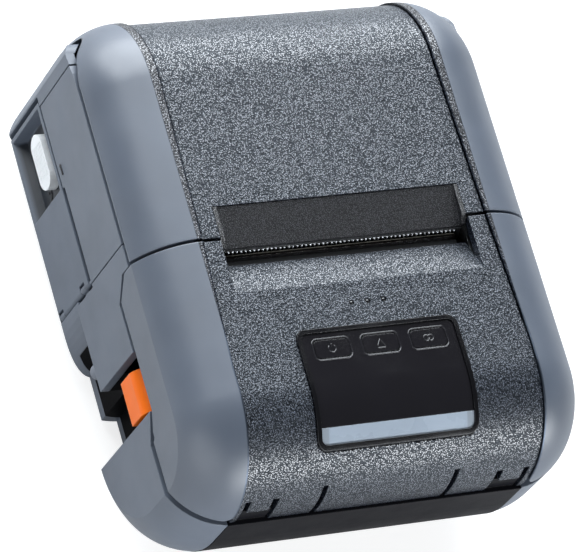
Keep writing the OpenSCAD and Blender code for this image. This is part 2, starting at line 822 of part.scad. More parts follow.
module connector_board() {
    color([0.1, 0.35, 0.22]) block([socket_board_x, 7, door_mid + 1.1], [socket_board_x + 1.4, 34, cover_pin_z]);
}

module usb_jack() {
    color([0.72, 0.74, 0.76]) difference() {
        block([socket_x, 11, door_mid + 6.1], [socket_board_x, 19, door_mid + 10.5]);
        block([socket_x - 1, 11.6, door_mid + 6.7], [socket_board_x - 1.6, 18.4, door_mid + 9.9]);
    }
}

module power_jack() {
    z = door_mid + 8.2;
    color([0.12, 0.12, 0.13]) difference() {
        block([socket_x, 23, z - 4.5], [socket_board_x, 32, z + 4.5]);
        translate([socket_x - 0.8, 27.5, z]) rotate([0, 90, 0]) cylinder(h = 6.6, r = 2.8);
    }
    color([0.75, 0.76, 0.78]) translate([socket_x + 1.2, 27.5, z]) rotate([0, 90, 0]) cylinder(h = 5, r = 0.9);
}

module battery_pack() {
    x0 = pack_x;
    color([0.2, 0.2, 0.22]) {
        difference() {
            block([x0, pack_y - pack_l / 2, pack_z], [x0 + pack_w, pack_y + pack_l / 2, pack_z + pack_h]);
            // Step of the lid round the pack
            difference() {
                block([x0 - 1, pack_y - far, pack_z + pack_h - 2.4], [x0 + pack_w + 1, pack_y + far, pack_z + pack_h - 2]);
                block([x0 + 0.4, pack_y - pack_l / 2 + 0.4, 0], [x0 + pack_w - 0.4, pack_y + pack_l / 2 - 0.4, far]);
            }
            for (i = [0:3])
                block([x0 + pack_w - 1, pack_y - 9 + i * 5, pack_z + 3], [x0 + pack_w + 1, pack_y - 6.5 + i * 5, pack_z + 7]);
        }
    }
}

module battery_contacts() {
    x0 = pack_x + pack_w;
    color([0.85, 0.7, 0.4]) for (i = [0:3])
        block([x0 - 0.8, pack_y - 8.6 + i * 5, pack_z + 3.6], [x0 + 1.8, pack_y - 6.9 + i * 5, pack_z + 6.2]);
    color([0.14, 0.14, 0.15])
        block([x0 + 0.3, pack_y - 11, wall], [x0 + 4.3, pack_y + 11, pack_z + pack_h]);
}

// Battery door: a plate with the finger pocket of the latch near its rear end
module battery_door() {
    y1 = slot_rear - 1.3;
    z0 = door_low + door_gap;
    z1 = door_mid - door_gap;
    x0 = -half_w;
    color([0.42, 0.46, 0.51]) difference() {
        union() {
            intersection() {
                union() {
                    block([x0, pin_y, z0], [x0 + door_t, y1, z1]);
                    translate([pin_x, pin_y, z0]) cylinder(h = z1 - z0, r = edge_r);
                }
                mirror([1, 0, 0]) skirt_body(0);
            }
            // Cup of the pocket
            block([x0 + 1, latch_y - 11.6, door_low + 2], [x0 + 4.2, y1 - 0.4, door_mid - 1.7]);
            // Ribs that steady the battery pack
            for (y = [9, 15, 21])
                block([x0 + door_t - eps, y, door_low + 2], [x0 + 4.2, y + 1.2, door_low + 9]);
        }
        // Pocket with sloping walls
        intersection() {
            translate([0, 0, door_low]) linear_extrude(door_mid)
                polygon([[x0 - 1, latch_y - 11], [x0 + 3, latch_y - 9], [x0 + 3, y1 - 1.5], [x0 - 1, y1 - 0.8]]);
            along_y(0, far)
                polygon([[door_low + 2.2, x0 - 1], [door_low + 4, x0 + 3], [z1 - 2.8, x0 + 3], [z1 - 0.6, x0 - 1]]);
        }
        // Slot that the latch slides in
        block([x0 + 2, latch_y - 3.2, latch_z - 1.7], [x0 + 5, latch_y + 3 + latch_travel, latch_z + 1.7]);
        for (z = knuckle_z)
            block([x0 - 1, door_front, z - 0.15], [x0 + 3, pin_y + edge_r + 0.3, z + knuckle_h + 0.15]);
        translate([pin_x, pin_y, knuckle_z[0]]) cylinder(h = pin_high - knuckle_z[0], r = pin_r + fit_gap);
    }
}

module door_pin() {
    color([0.75, 0.76, 0.78]) translate([pin_x, pin_y, pin_low])
        cylinder(h = pin_high - pin_low, r = pin_r);
}

// Latch: an oval knob with fine grips on a bolt behind the pocket's floor
module battery_latch() {
    x0 = -half_w;
    color([0.95, 0.96, 0.96]) {
        difference() {
            translate([x0 + 0.4, latch_y, latch_z]) rotate([0, 90, 0]) linear_extrude(2.3) union() {
                square([knob_w - 0.02, knob_l - knob_w], center = true);
                for (s = [-1, 1])
                    translate([0, s * (knob_l - knob_w) / 2]) circle(r = knob_w / 2);
            }
            for (i = [-3:3])
                block([x0, latch_y - knob_l / 2 + 2.6, latch_z + i * 0.8 - 0.15],
                    [x0 + 0.7, latch_y + knob_l / 2 - 2.6, latch_z + i * 0.8 + 0.15]);
        }
        block([x0 + 2.6, latch_y - 2.6, latch_z - 1.4], [latch_x + 0.1, latch_y + 2.6, latch_z + 1.4]);
        block([latch_x, latch_y - 4, latch_z - 2.4], [latch_x + 1.2, slot_rear - 1.4, latch_z + 2.4]);
    }
}

// Connector cover: a plate that turns up about a pin near its top edge, with a nail groove below
module connector_cover() {
    y0 = door_front + door_gap;
    y1 = door_rear - door_gap;
    z0 = door_mid + door_gap;
    x0 = -half_w;
    color([0.42, 0.46, 0.51]) difference() {
        union() {
            intersection() {
                block([x0, y0, z0], [x0 + door_t, y1, side_top_z]);
                along_x(-far, 0) side_top(-0.2);
            }
            translate([cover_pin_x, y0, cover_pin_z]) rotate([-90, 0, 0]) cylinder(h = y1 - y0, r = 1.2);
        }
        block([x0 - 1, y0 + 0.6, z0 - 1], [x0 + 0.8, 27.5, z0 + 0.9]);
        translate([cover_pin_x, y0 - 1, cover_pin_z]) rotate([-90, 0, 0]) cylinder(h = far, r = pin_r + fit_gap);
    }
}

module cover_pin() {
    color([0.75, 0.76, 0.78]) translate([cover_pin_x, door_front - 1.6, cover_pin_z])
        rotate([-90, 0, 0]) cylinder(h = door_rear - door_front + 3.2, r = pin_r);
}

// Pieces of the panel follow the round of the front end
module panel_piece(d0, d1) {
    intersection() {
        along_x(-panel_half - 1, panel_half + 1) side_skin(d0, d1);
        children();
    }
}

module panel_rim() {
    color([0.05, 0.05, 0.06]) panel_piece(0.1, 3.2) difference() {
        panel_prism(0);
        panel_prism(rim_w);
    }
}

bar_rear = panel_front + rim_w + bar_l;
key_y = panel_rear - 4.9;
key_w = 8.4;
key_l = 4.2;

module key_prism(x, gap) {
    translate([x, key_y, 40]) linear_extrude(30)
        rounded_plan(-key_w / 2 - gap, key_w / 2 + gap, -key_l / 2 - gap, key_l / 2 + gap, 1);
}

module panel_window() {
    color([0.04, 0.04, 0.05]) panel_piece(0.5, 1.9) difference() {
        panel_prism(rim_w + 0.05);
        block([-far, front_y, 0], [far, bar_rear, far]);
        for (i = [-1:1])
            key_prism(i * key_pitch, 0.14);
    }
}

module panel_bar() {
    color([0.68, 0.72, 0.76]) panel_piece(0.4, 2.2) intersection() {
        panel_prism(rim_w + 0.05);
        block([-far, front_y, 0], [far, bar_rear - 0.1, far]);
    }
}

module key(x) {
    color([0.06, 0.06, 0.07]) {
        panel_piece(0.45, 2.2) key_prism(x, 0);
        translate([x, key_y, case_h - 4.6]) cylinder(h = 2.8, r = 1.5);
    }
}

module power_key() {
    key(-key_pitch);
}

module feed_key() {
    key(0);
}

module link_key() {
    key(key_pitch);
}

module panel_board() {
    z = case_h - 7.4;
    color([0.1, 0.35, 0.22]) block([-19, key_y - 10, z - 1.2], [19, light_y + 1.5, z]);
    color([0.75, 0.76, 0.78]) for (i = [-1:1]) {
        block([i * key_pitch - 2.2, key_y - 2.2, z - eps], [i * key_pitch + 2.2, key_y + 2.2, z + 1.4]);
        translate([i * key_pitch, key_y, z + 1.3]) cylinder(h = 0.6, r = 1.1);
    }
}

module light_guides() {
    color([0.85, 0.9, 0.88]) for (x = [-4, 0, 4])
        translate([x, light_y, case_h - 7.4]) cylinder(h = 7.4 - proud - 0.3, r = 0.55);
}

// Release lever: a thumb piece in the side notch, on a bar that pushes the platen's shaft up
module release_lever() {
    y0 = notch_front + 1.2;
    y1 = notch_rear - 2.8;
    x0 = -half_w + 0.3;
    z1 = thumb_top;
    round_r = 3.4;
    color([1, 0.42, 0.08]) {
        difference() {
            block([x0, y0, scoop_z + 2.6], [x0 + 7, y1, z1]);
            block([x0 + 1.8, y0 + 1.6, scoop_z - 1], [x0 + 8, y1 - 1.6, z1 - 1.6]);
            // Rounded upper edge of the thumb piece
            difference() {
                block([x0 - 1, y0 - 1, z1 - round_r + 0.2], [x0 + round_r - 0.2, y1 + 1, z1 + 1]);
                translate([x0 + round_r, 0, z1 - round_r]) rotate([90, 0, 0])
                    cylinder(h = 2 * far, r = round_r + 0.1, center = true);
            }
        }
        block([x0 + 6, y1 - 4.4, z1 - 1.8], [bar_x + 0.1, y1 - 0.4, z1]);
        difference() {
            along_x(bar_x, bar_x + bar_t)
                polygon([[y1 - 4.4, z1 - 1.8], [y1 - 4.4, z1], [y1, z1 + 0.4], [-17, bar_top], [-3.5, bar_top], [-2.4, bar_top + 0.7],
                    [2.8, bar_top + 0.7], [2.8, bar_top - 1.4], [-3, bar_top - 2.4], [-4.6, bar_low], [-15, bar_low],
                    [-17.5, z1 - 1.8]]);
            for (y = stud_y)
                along_x(-far, 0) box_yz(y - stud_r - fit_gap, y + stud_r + fit_gap,
                    stud_z - lever_travel - stud_r - 0.1, stud_z + stud_r + 0.1);
        }
    }
}

// Two studs on the left cheek of the print unit, in the slots of the lever's bar
module lever_studs() {
    color([0.75, 0.76, 0.78]) for (y = stud_y) {
        along_x(bar_x - 0.9, -frame_in - frame_t) translate([y, stud_z]) circle(r = stud_r);
        along_x(bar_x - 0.9, bar_x - 0.2) translate([y, stud_z]) circle(r = stud_r + 0.8);
    }
}

// Return spring between the lever's bar and a tab of the print unit
module lever_spring() {
    color([0.75, 0.76, 0.78]) translate([bar_x + bar_t / 2, bar_spring_y, bar_top])
        coil(1.3, 0.3, 3, tab_z - bar_top);
}

// Post of the wrist strap: a round-ended stub below the side plate
module strap_post() {
    r = 1.9;
    color([0.5, 0.53, 0.58]) translate([-half_w + 2.6, -12.4, strap_z - 5.6]) rotate_extrude($fn = 48) {
        translate([0, r]) square([r, 5.6 - r]);
        intersection() {
            translate([0, r]) circle(r = r);
            square([r, r + eps]);
        }
    }
}

module paper_sensor() {
    color([0.1, 0.1, 0.11]) block([-14, platen_y + 7, shelf_z - 4.2], [-8, platen_y + 11, shelf_z]);
}

module roll_cover() {
    color([0.27, 0.28, 0.32]) difference() {
        union() {
            intersection() {
                along_x(-far, far) side_skin(proud, proud + wall);
                centre_zone(seam_gap);
                along_x(-far, far) box_yz(split_y + split_gap, rear_y + 1, hinge_z, case_h + 1);
            }
            mirrored_pair() along_x(knuckle_in, seam_rear - seam_gap)
                translate([hinge_y, hinge_z]) circle(r = knuckle_r - proud);
        }
        block([-hood_half, split_y, case_h - 6], [hood_half, hood_rear, case_h + 1]);
        // Room for the knuckles of the case between the cover's own
        along_x(-knuckle_in, knuckle_in) translate([hinge_y, hinge_z]) circle(r = knuckle_r + 0.3);
        along_x(-far, far) translate([hinge_y, hinge_z]) circle(r = hinge_pin_r + fit_gap);
    }
}

module cover_bumper() {
    intersection() {
        crown_shell();
        along_x(0, far) cover_zone();
    }
}

module cover_left_bumper() {
    color([0.47, 0.52, 0.57]) mirror([1, 0, 0]) cover_bumper();
}

module cover_right_bumper() {
    color([0.47, 0.52, 0.57]) cover_bumper();
}

// Inner frame of the roll cover: a liner with ribs and the platen's two arms
module cover_frame() {
    d = proud + wall;
    color([0.2, 0.2, 0.22]) {
        difference() {
            union() {
                intersection() {
                    along_x(-bush_in - 2.5, bush_in + 2.5) side_skin(d, d + 1.2);
                    along_x(-far, far) box_yz(hood_rear + 3.2, rear_y - 8.5, case_h - 14, case_h);
                }
                mirrored_pair() along_x(bush_in, bush_in + arm_t) union() {
                    translate([platen_y, platen_z]) circle(r = bush_r + 1.6);
                    polygon([[platen_y - 1.2, platen_z + 2], [platen_y - 1.2, case_h - d - 2.8], [hood_rear + 3, case_h - d - 1.5],
                        [hood_rear + 3.3, case_h - d - 1], [hood_rear + 12, case_h - d - 1], [platen_y + 4.4, platen_z]]);
                }
            }
            along_x(-far, far) translate([platen_y, platen_z]) circle(r = bush_r);
        }
    }
}

// Hood over the paper exit: a sloping face between two side walls
module exit_hood() {
    y0 = tear_y - 0.3;
    top = case_h - proud;
    color([0.24, 0.24, 0.28]) {
        along_x(-hood_half + 0.1, hood_half - 0.1)
            polygon([[hood_rear - 0.1, top - 0.3], [y0, tear_z + 0.8], [y0, tear_z], [0.2, tear_z],
                [hood_rear - 1, top - wall - hood_t], [hood_rear + 3, top - wall - hood_t],
                [hood_rear + 3, top - wall], [hood_rear - 0.1, top - wall]]);
        mirrored_pair() along_x(hood_half - 1.1, hood_half - 0.1)
            polygon([[hood_rear - 0.2, top], [split_y + split_gap + 0.1, top], [y0, tear_z + 1.6], [y0, tear_z + 0.2],
                [hood_rear - 0.2, top - hood_t]]);
    }
}

// Tear bar: a thin blade with a saw edge
module tear_bar() {
    teeth = floor(2 * (tear_half - 1) / tear_pitch);
    first = -teeth * tear_pitch / 2;
    edge = [for (i = [0:teeth - 1]) each [[first + i * tear_pitch, tear_y - 0.5],
        [first + (i + 0.5) * tear_pitch, tear_y - 1.2]]];
    color([0.8, 0.81, 0.82]) translate([0, 0, tear_z - 0.5])
        linear_extrude(0.5)
            polygon(concat([[-tear_half, tear_y + 3], [-tear_half, tear_y - 0.5]], edge,
                [[-first, tear_y - 0.5], [tear_half, tear_y - 0.5], [tear_half, tear_y + 3]]));
}

module hinge_pin() {
    color([0.75, 0.76, 0.78])
        along_x(-seam_rear + 1, seam_rear - 1) translate([hinge_y, hinge_z]) circle(r = hinge_pin_r);
}

module hinge_spring() {
    color([0.75, 0.76, 0.78]) translate([-4.4, hinge_y, hinge_z]) rotate([0, 90, 0])
        coil(hinge_pin_r + 0.5, 0.3, 6, 8.8);
}

module platen_bushes() {
    color([0.85, 0.85, 0.82]) mirrored_pair() along_x(bush_in, bush_out) difference() {
        translate([platen_y, platen_z]) circle(r = bush_r);
        translate([platen_y, platen_z]) circle(r = shaft_r + fit_gap);
    }
}

module platen_shaft() {
    color([0.75, 0.76, 0.78])
        along_x(bar_x - 0.4, gear_x + gear_w + 0.6) translate([platen_y, platen_z]) circle(r = shaft_r);
}

module platen_rubber() {
    color([0.1, 0.1, 0.1]) along_x(-platen_half, platen_half) difference() {
        translate([platen_y, platen_z]) circle(r = platen_r);
        translate([platen_y, platen_z]) circle(r = shaft_r);
    }
}

module platen_gear() {
    color([0.88, 0.88, 0.84]) along_x(gear_x, gear_x + gear_w) translate([platen_y, platen_z]) difference() {
        gear_outline(platen_teeth, platen_phase);
        circle(r = shaft_r);
    }
}

module rubber_feet() {
    color([0.12, 0.12, 0.12]) for (x = [-26, 26], y = foot_y)
        translate([x, y, 0]) cylinder(h = base_recess + foot_h - eps, r = 3.9);
}

module case_screws() {
    color([0.75, 0.76, 0.78]) for (x = [-30, 30], y = board_holes)
        translate([x, y, board_z + board_t]) {
            cylinder(h = 1.2, r = 2);
            translate([0, 0, -screw_l]) cylinder(h = screw_l + 0.1, r = 0.9);
        }
}

bottom_case();
left_side_case();
right_side_case();
recess_liner();
mid_frame();
front_cover();
left_bumper();
right_bumper();
roll_tray();
head_frame();
print_head();
heat_sink();
head_springs();
stepper_motor();
motor_pinion();
idler_gear();
idler_stud();
main_board();
connector_board();
usb_jack();
power_jack();
battery_pack();
battery_contacts();
battery_door();
door_pin();
battery_latch();
connector_cover();
cover_pin();
panel_rim();
panel_window();
panel_bar();
panel_board();
power_key();
feed_key();
link_key();
light_guides();
release_lever();
lever_studs();
lever_spring();
strap_post();
paper_sensor();
roll_cover();
cover_left_bumper();
cover_right_bumper();
cover_frame();
exit_hood();
tear_bar();
hinge_pin();
hinge_spring();
platen_bushes();
platen_shaft();
platen_rubber();
platen_gear();
rubber_feet();
case_screws();
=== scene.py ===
"""Portable receipt printer: finishes for the solids, and the small details that they carry."""

import json
import logging
import math
from dataclasses import dataclass
from enum import Enum
from typing import Any, Dict, Sequence, Tuple, Union

import bpy
import numpy as np
from mathutils import Matrix, Vector

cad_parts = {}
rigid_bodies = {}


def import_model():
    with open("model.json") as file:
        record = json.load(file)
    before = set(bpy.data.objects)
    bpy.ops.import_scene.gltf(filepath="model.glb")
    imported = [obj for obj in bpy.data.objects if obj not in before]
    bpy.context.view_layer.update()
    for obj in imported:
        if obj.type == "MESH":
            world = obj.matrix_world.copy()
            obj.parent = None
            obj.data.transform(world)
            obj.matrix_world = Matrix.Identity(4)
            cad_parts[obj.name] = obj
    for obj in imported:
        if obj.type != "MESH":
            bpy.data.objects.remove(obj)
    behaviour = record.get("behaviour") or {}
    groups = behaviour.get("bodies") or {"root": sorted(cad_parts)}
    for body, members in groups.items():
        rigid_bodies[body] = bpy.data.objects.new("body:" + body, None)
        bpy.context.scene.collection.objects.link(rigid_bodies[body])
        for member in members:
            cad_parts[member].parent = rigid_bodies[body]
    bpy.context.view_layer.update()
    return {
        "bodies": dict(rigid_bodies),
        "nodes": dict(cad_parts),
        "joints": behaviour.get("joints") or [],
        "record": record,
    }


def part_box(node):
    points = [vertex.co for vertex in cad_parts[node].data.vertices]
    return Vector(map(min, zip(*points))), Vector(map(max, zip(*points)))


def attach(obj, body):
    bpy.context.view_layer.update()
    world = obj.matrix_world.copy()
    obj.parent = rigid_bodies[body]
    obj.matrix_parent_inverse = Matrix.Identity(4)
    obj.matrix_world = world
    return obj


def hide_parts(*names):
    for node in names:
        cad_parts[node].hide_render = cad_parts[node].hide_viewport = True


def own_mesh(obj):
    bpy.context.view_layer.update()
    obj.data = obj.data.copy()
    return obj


LOG = logging.getLogger("printer")
MM = 0.001
Colour = Tuple[float, float, float]
Point = Tuple[float, float, float]
Pair = Tuple[float, float]

BEVEL_SAMPLES = 4
EDGE_TURN = (0.02, 0.3)  # how far the normal leaves the flat one where an edge begins, and where it is full
ROUTE_STEP = 0.08  # millimetres between points of a straight run
ARC_POINTS = 25
RIDGE_POINTS = 9  # points over the rounded top of a ridge
TINY = 1e-9


def linear(red: int, green: int, blue: int) -> Colour:
    """Turns a screen colour into the linear values that a shader takes, by the sRGB curve.

    Args:
        red: Red, 0 to 255.
        green: Green, 0 to 255.
        blue: Blue, 0 to 255.

    Returns:
        The three linear values.
    """
    values = np.array([red, green, blue], float) / 255
    low = values / 12.92
    high = ((values + 0.055) / 1.055) ** 2.4
    return tuple(float(v) for v in np.where(values <= 0.04045, low, high))


class Body(Enum):
    """The bodies that a piece may ride on."""

    CASE = "case"
    LEVER = "lever"
    DOOR = "door"
    FLAP = "connector_door"
    LEFT_KEY = "key_left"
    MIDDLE_KEY = "key_middle"
    RIGHT_KEY = "key_right"


class Axis(Enum):
    """The outputs of a node that takes a vector apart: X to the right, Y to the rear, Z up."""

    ACROSS = "X"
    ALONG = "Y"
    RISE = "Z"


class Value:
    """A number socket, on which sums add their Math nodes."""

    def __init__(self, tree: "Tree", socket: Any) -> None:
        """Keeps the socket and the tree that it belongs to."""
        self.tree = tree
        self.socket = socket

    def _sum(self, operation: str, first: Any, second: Any) -> "Value":
        """Adds one Math node.

        Args:
            operation: The node's operation.
            first: First value, a number or a Value.
            second: Second value, a number or a Value.

        Returns:
            The result.
        """
        return self.tree.value("ShaderNodeMath", {"operation": operation}, [first, second])

    def __add__(self, other: Any) -> "Value":
        """Adds."""
        return self._sum("ADD", self, other)

    def __radd__(self, other: Any) -> "Value":
        """Adds, with the number first."""
        return self._sum("ADD", other, self)

    def __sub__(self, other: Any) -> "Value":
        """Takes away."""
        return self._sum("SUBTRACT", self, other)

    def __rsub__(self, other: Any) -> "Value":
        """Takes this from a number."""
        return self._sum("SUBTRACT", other, self)

    def __mul__(self, other: Any) -> "Value":
        """Multiplies."""
        return self._sum("MULTIPLY", self, other)

    def __rmul__(self, other: Any) -> "Value":
        """Multiplies, with the number first."""
        return self._sum("MULTIPLY", other, self)

    def __abs__(self) -> "Value":
        """Drops the sign."""
        return self.tree.value("ShaderNodeMath", {"operation": "ABSOLUTE"}, [self])


class Tree:
    """A node tree, and the way that nodes are added to it."""

    def __init__(self, tree: Any) -> None:
        """Keeps the tree."""
        self.tree = tree

    def value(self, kind: str, settings: Dict[str, Any], inputs: Any,
              output: Union[int, str] = 0) -> Value:
        """Adds a node.

        Args:
            kind: The node's type.
            settings: What is set on the node first, such as its operation.
            inputs: The values or links of its sockets, in order, or by name or number.
            output: The output that is wanted.

        Returns:
            The output.
        """
        node = self.tree.nodes.new(kind)
        for key, setting in settings.items():
            setattr(node, key, setting)
        pairs = enumerate(inputs) if isinstance(inputs, (list, tuple)) else inputs.items()
        for key, given in pairs:
            if isinstance(given, Value):
                self.tree.links.new(given.socket, node.inputs[key])
            else:
                node.inputs[key].default_value = given
        return Value(self, node.outputs[output])

    def ramp(self, source: Value, low: float, high: float) -> Value:
        """Spreads a range of values over 0 to 1."""
        return self.value("ShaderNodeMapRange", {"clamp": True}, [source, low, high, 0.0, 1.0])

    def part(self, vector: Value, axis: Axis) -> Value:
        """Gives one coordinate of a vector."""
        return self.value("ShaderNodeSeparateXYZ", {}, [vector], output=axis.value)

    def ray(self, kind: str) -> Value:
        """Gives 1 for one kind of ray, such as the camera's."""
        return self.value("ShaderNodeLightPath", {}, [], output=f"Is {kind} Ray")


class Shader(Tree):
    """One material with its Principled surface."""

    def __init__(self, name: str, roughness: float, metallic: float = 0.0) -> None:
        """Makes the material.

        Args:
            name: Name of the material.
            roughness: Roughness of the surface.
            metallic: 1 for bare metal.
        """
        self.material = bpy.data.materials.new(name)
        self.material.use_nodes = True
        super().__init__(self.material.node_tree)
        self.surface = next(n for n in self.tree.nodes if n.type == "BSDF_PRINCIPLED")
        self.constant("Roughness", roughness)
        self.constant("Metallic", metallic)
        self.place = self.value("ShaderNodeTexCoord", {}, [], output="Object")

    def constant(self, name: str, value: Any) -> None:
        """Sets a value that is the same all over the surface."""
        self.surface.inputs[name].default_value = value

    def noise(self, scale: float, detail: float = 2.0, roughness: float = 0.5) -> Value:
        """Gives noise in object space.

        Args:
            scale: Waves per metre.
            detail: Octaves.
            roughness: Weight of the fine octaves.

        Returns:
            The noise, about 0.5 on average.
        """
        return self.value("ShaderNodeTexNoise", {},
                          {"Vector": self.place, "Scale": scale, "Detail": detail, "Roughness": roughness})

    def where(self, axis: Axis) -> Value:
        """Gives one coordinate of the place in object space."""
        return self.part(self.place, axis)

    def cells(self, scale: float) -> Value:
        """Gives the distance to the nearest cell's middle, in object space."""
        return self.value("ShaderNodeTexVoronoi", {"feature": "SMOOTH_F1"},
                          {"Vector": self.place, "Scale": scale, "Smoothness": 0.4}, output="Distance")

    def mix(self, share: Any, first: Any, second: Any) -> Value:
        """Mixes two colours.

        Args:
            share: Share of the second colour.
            first: First colour.
            second: Second colour.

        Returns:
            The mixed colour.
        """
        shades = [(*c, 1.0) if isinstance(c, tuple) else c for c in (first, second)]
        return self.value("ShaderNodeMix", {"data_type": "RGBA"}, {0: share, 6: shades[0], 7: shades[1]},
                          output=2)

    def feed(self, name: str, source: Value) -> None:
        """Links a value to a socket of the surface."""
        self.tree.links.new(source.socket, self.surface.inputs[name])

    def rounded(self, radius: float) -> Value:
        """Gives the normal with edges rounded to a radius in metres."""
        return self.value("ShaderNodeBevel", {"samples": BEVEL_SAMPLES}, {"Radius": radius})

    def bump(self, height: Value, depth: float, edge: float = 0.0) -> None:
        """Raises the surface by a height, on slightly rounded edges.

        Args:
            height: Height, 0 to 1.
            depth: Depth of the relief in metres.
            edge: Radius of the rounded edges in metres.
        """
        inputs: Dict[str, Any] = {"Strength": 1.0, "Distance": depth, "Height": height}
        if edge:
            inputs["Normal"] = self.rounded(edge)
        self.feed("Normal", self.value("ShaderNodeBump", {}, inputs))

    def edges(self, radius: float) -> Value:
        """Finds edges: the share by which the rounded normal leaves the flat one.

        Args:
            radius: Reach of an edge in metres.

        Returns:
            0 on flat surfaces, rising towards edges.
        """
        flat = self.value("ShaderNodeNewGeometry", {}, [], output="Normal")
        agreement = self.value("ShaderNodeVectorMath", {"operation": "DOT_PRODUCT"},
                               [self.rounded(radius), flat], output="Value")
        return self.ramp(1.0 - agreement, *EDGE_TURN)


COVER_COLOUR = linear(44, 52, 70)


def shaded(colour: Colour, share: float) -> Colour:
    """Gives a colour with its values times a share."""
    return tuple(value * share for value in colour)


@dataclass(frozen=True)
class Plastic:
    """Moulded plastic: fine grain, a slight change of tone, and edges polished by handling.

    The grain, clouds, smudges and wear are noises, in waves per metre. Depth and edge are in metres.
    """

    name: str
    colour: Colour
    roughness: float
    grain: float = 3000.0
    depth: float = 0.00002
    edge: float = 0.0002
    coat: float = 0.0
    coat_roughness: float = 0.08
    sheen: float = 0.5
    clouds: float = 60.0
    cloud_shade: float = 0.88
    smudges: float = 140.0
    smudge_haze: float = 0.08
    wear: float = 900.0
    wear_share: float = 0.35
    wear_polish: float = 0.1

    def relief(self, s: Shader) -> Value:
        """Gives the height of the grain.

        Args:
            s: The shader.

        Returns:
            The height, about 0.5 on average.
        """
        return s.noise(self.grain, 3.0, 0.6)

    def tone(self, s: Shader, relief: Value) -> Value:
        """Gives the colour before wear.

        Args:
            s: The shader.
            relief: The height of the grain; not used.

        Returns:
            The colour.
        """
        cloud = s.ramp(s.noise(self.clouds, 3.0), 0.35, 0.65)
        return s.mix(cloud, shaded(self.colour, self.cloud_shade), self.colour)

    def polish(self, s: Shader, relief: Value) -> None:
        """Sets the clear coat.

        Args:
            s: The shader.
            relief: The height of the grain; not used.
        """
        s.constant("Coat Weight", self.coat)
        s.constant("Coat Roughness", self.coat_roughness)

    def material(self) -> bpy.types.Material:
        """Builds the material.

        Returns:
            The finished material.
        """
        s = Shader(self.name, self.roughness)
        relief = self.relief(s)
        shade = self.tone(s, relief)
        worn = s.edges(self.edge * 2) * s.ramp(s.noise(self.wear), 0.4, 0.6)
        bare = tuple(min(1.0, value * 1.5 + 0.02) for value in self.colour)
        s.feed("Base Color", s.mix(worn * self.wear_share, shade, bare))
        smudge = s.ramp(s.noise(self.smudges, 4.0), 0.4, 0.75)
        s.feed("Roughness", self.roughness + (smudge - 0.5) * self.smudge_haze - worn * self.wear_polish)
        s.constant("Specular IOR Level", self.sheen)
        self.polish(s, relief)
        s.bump(relief, self.depth, self.edge)
        return s.material


@dataclass(frozen=True)
class Leather(Plastic):
    """Plastic with a coarse leather grain: rounded grains, with painted shade in the creases between them and
    a painted highlight on their tops.

    Crease is how far a crease loses its reflection, which is painted shade, and the spans are heights of the
    grain.
    """

    coat_roughness: float = 0.34
    coat_index: float = 2.5
    crease: float = 0.5
    tint: Colour = (1.0, 1.0, 1.0)
    # shares of the colour: painted shade in the creases, painted highlight on the grain tops
    painted_crease_shade: float = 0.15
    painted_grain_highlight: float = 1.6
    tone_span: Pair = (0.84, 1.1)
    shine_span: Pair = (0.8, 1.06)

    def relief(self, s: Shader) -> Value:
        """Gives the height of the grain: rounded cells, broken up by finer noise."""
        return 1.0 - s.cells(self.grain) * 1.1 + s.noise(self.grain * 1.6, 2.0, 0.6) * 0.6

    def shades(self, s: Shader, height: Value, colour: Colour) -> Value:
        """Gives a colour with painted shade where the height is 0 and a painted highlight where it is 1."""
        return s.mix(height, shaded(colour, self.painted_crease_shade), shaded(colour, self.painted_grain_highlight))

    def tone(self, s: Shader, relief: Value) -> Value:
        """Gives the colour: painted shade in the creases, a painted highlight on the grains."""
        return self.shades(s, s.ramp(relief, *self.tone_span), self.colour)

    def shine(self, s: Shader, relief: Value) -> Tuple[Value, Value]:
        """Gives the clear coat, on the tops of the grains, and the lost reflection in the creases, which is
        painted shade.
        """
        tops = s.ramp(relief, *self.shine_span)
        return tops, (1.0 - tops) * self.crease

    def polish(self, s: Shader, relief: Value) -> None:
        """Sets the clear coat and the shine: a dark metal reflects next to nothing, so a crease is made
        metal, as painted shade.

        Args:
            s: The shader.
            relief: The height of the grain.
        """
        coat, lost = self.shine(s, relief)
        s.feed("Coat Weight", coat)
        s.feed("Metallic", lost)
        s.constant("Coat Roughness", self.coat_roughness)
        s.constant("Coat IOR", self.coat_index)
        s.constant("Specular Tint", (*self.tint, 1.0))


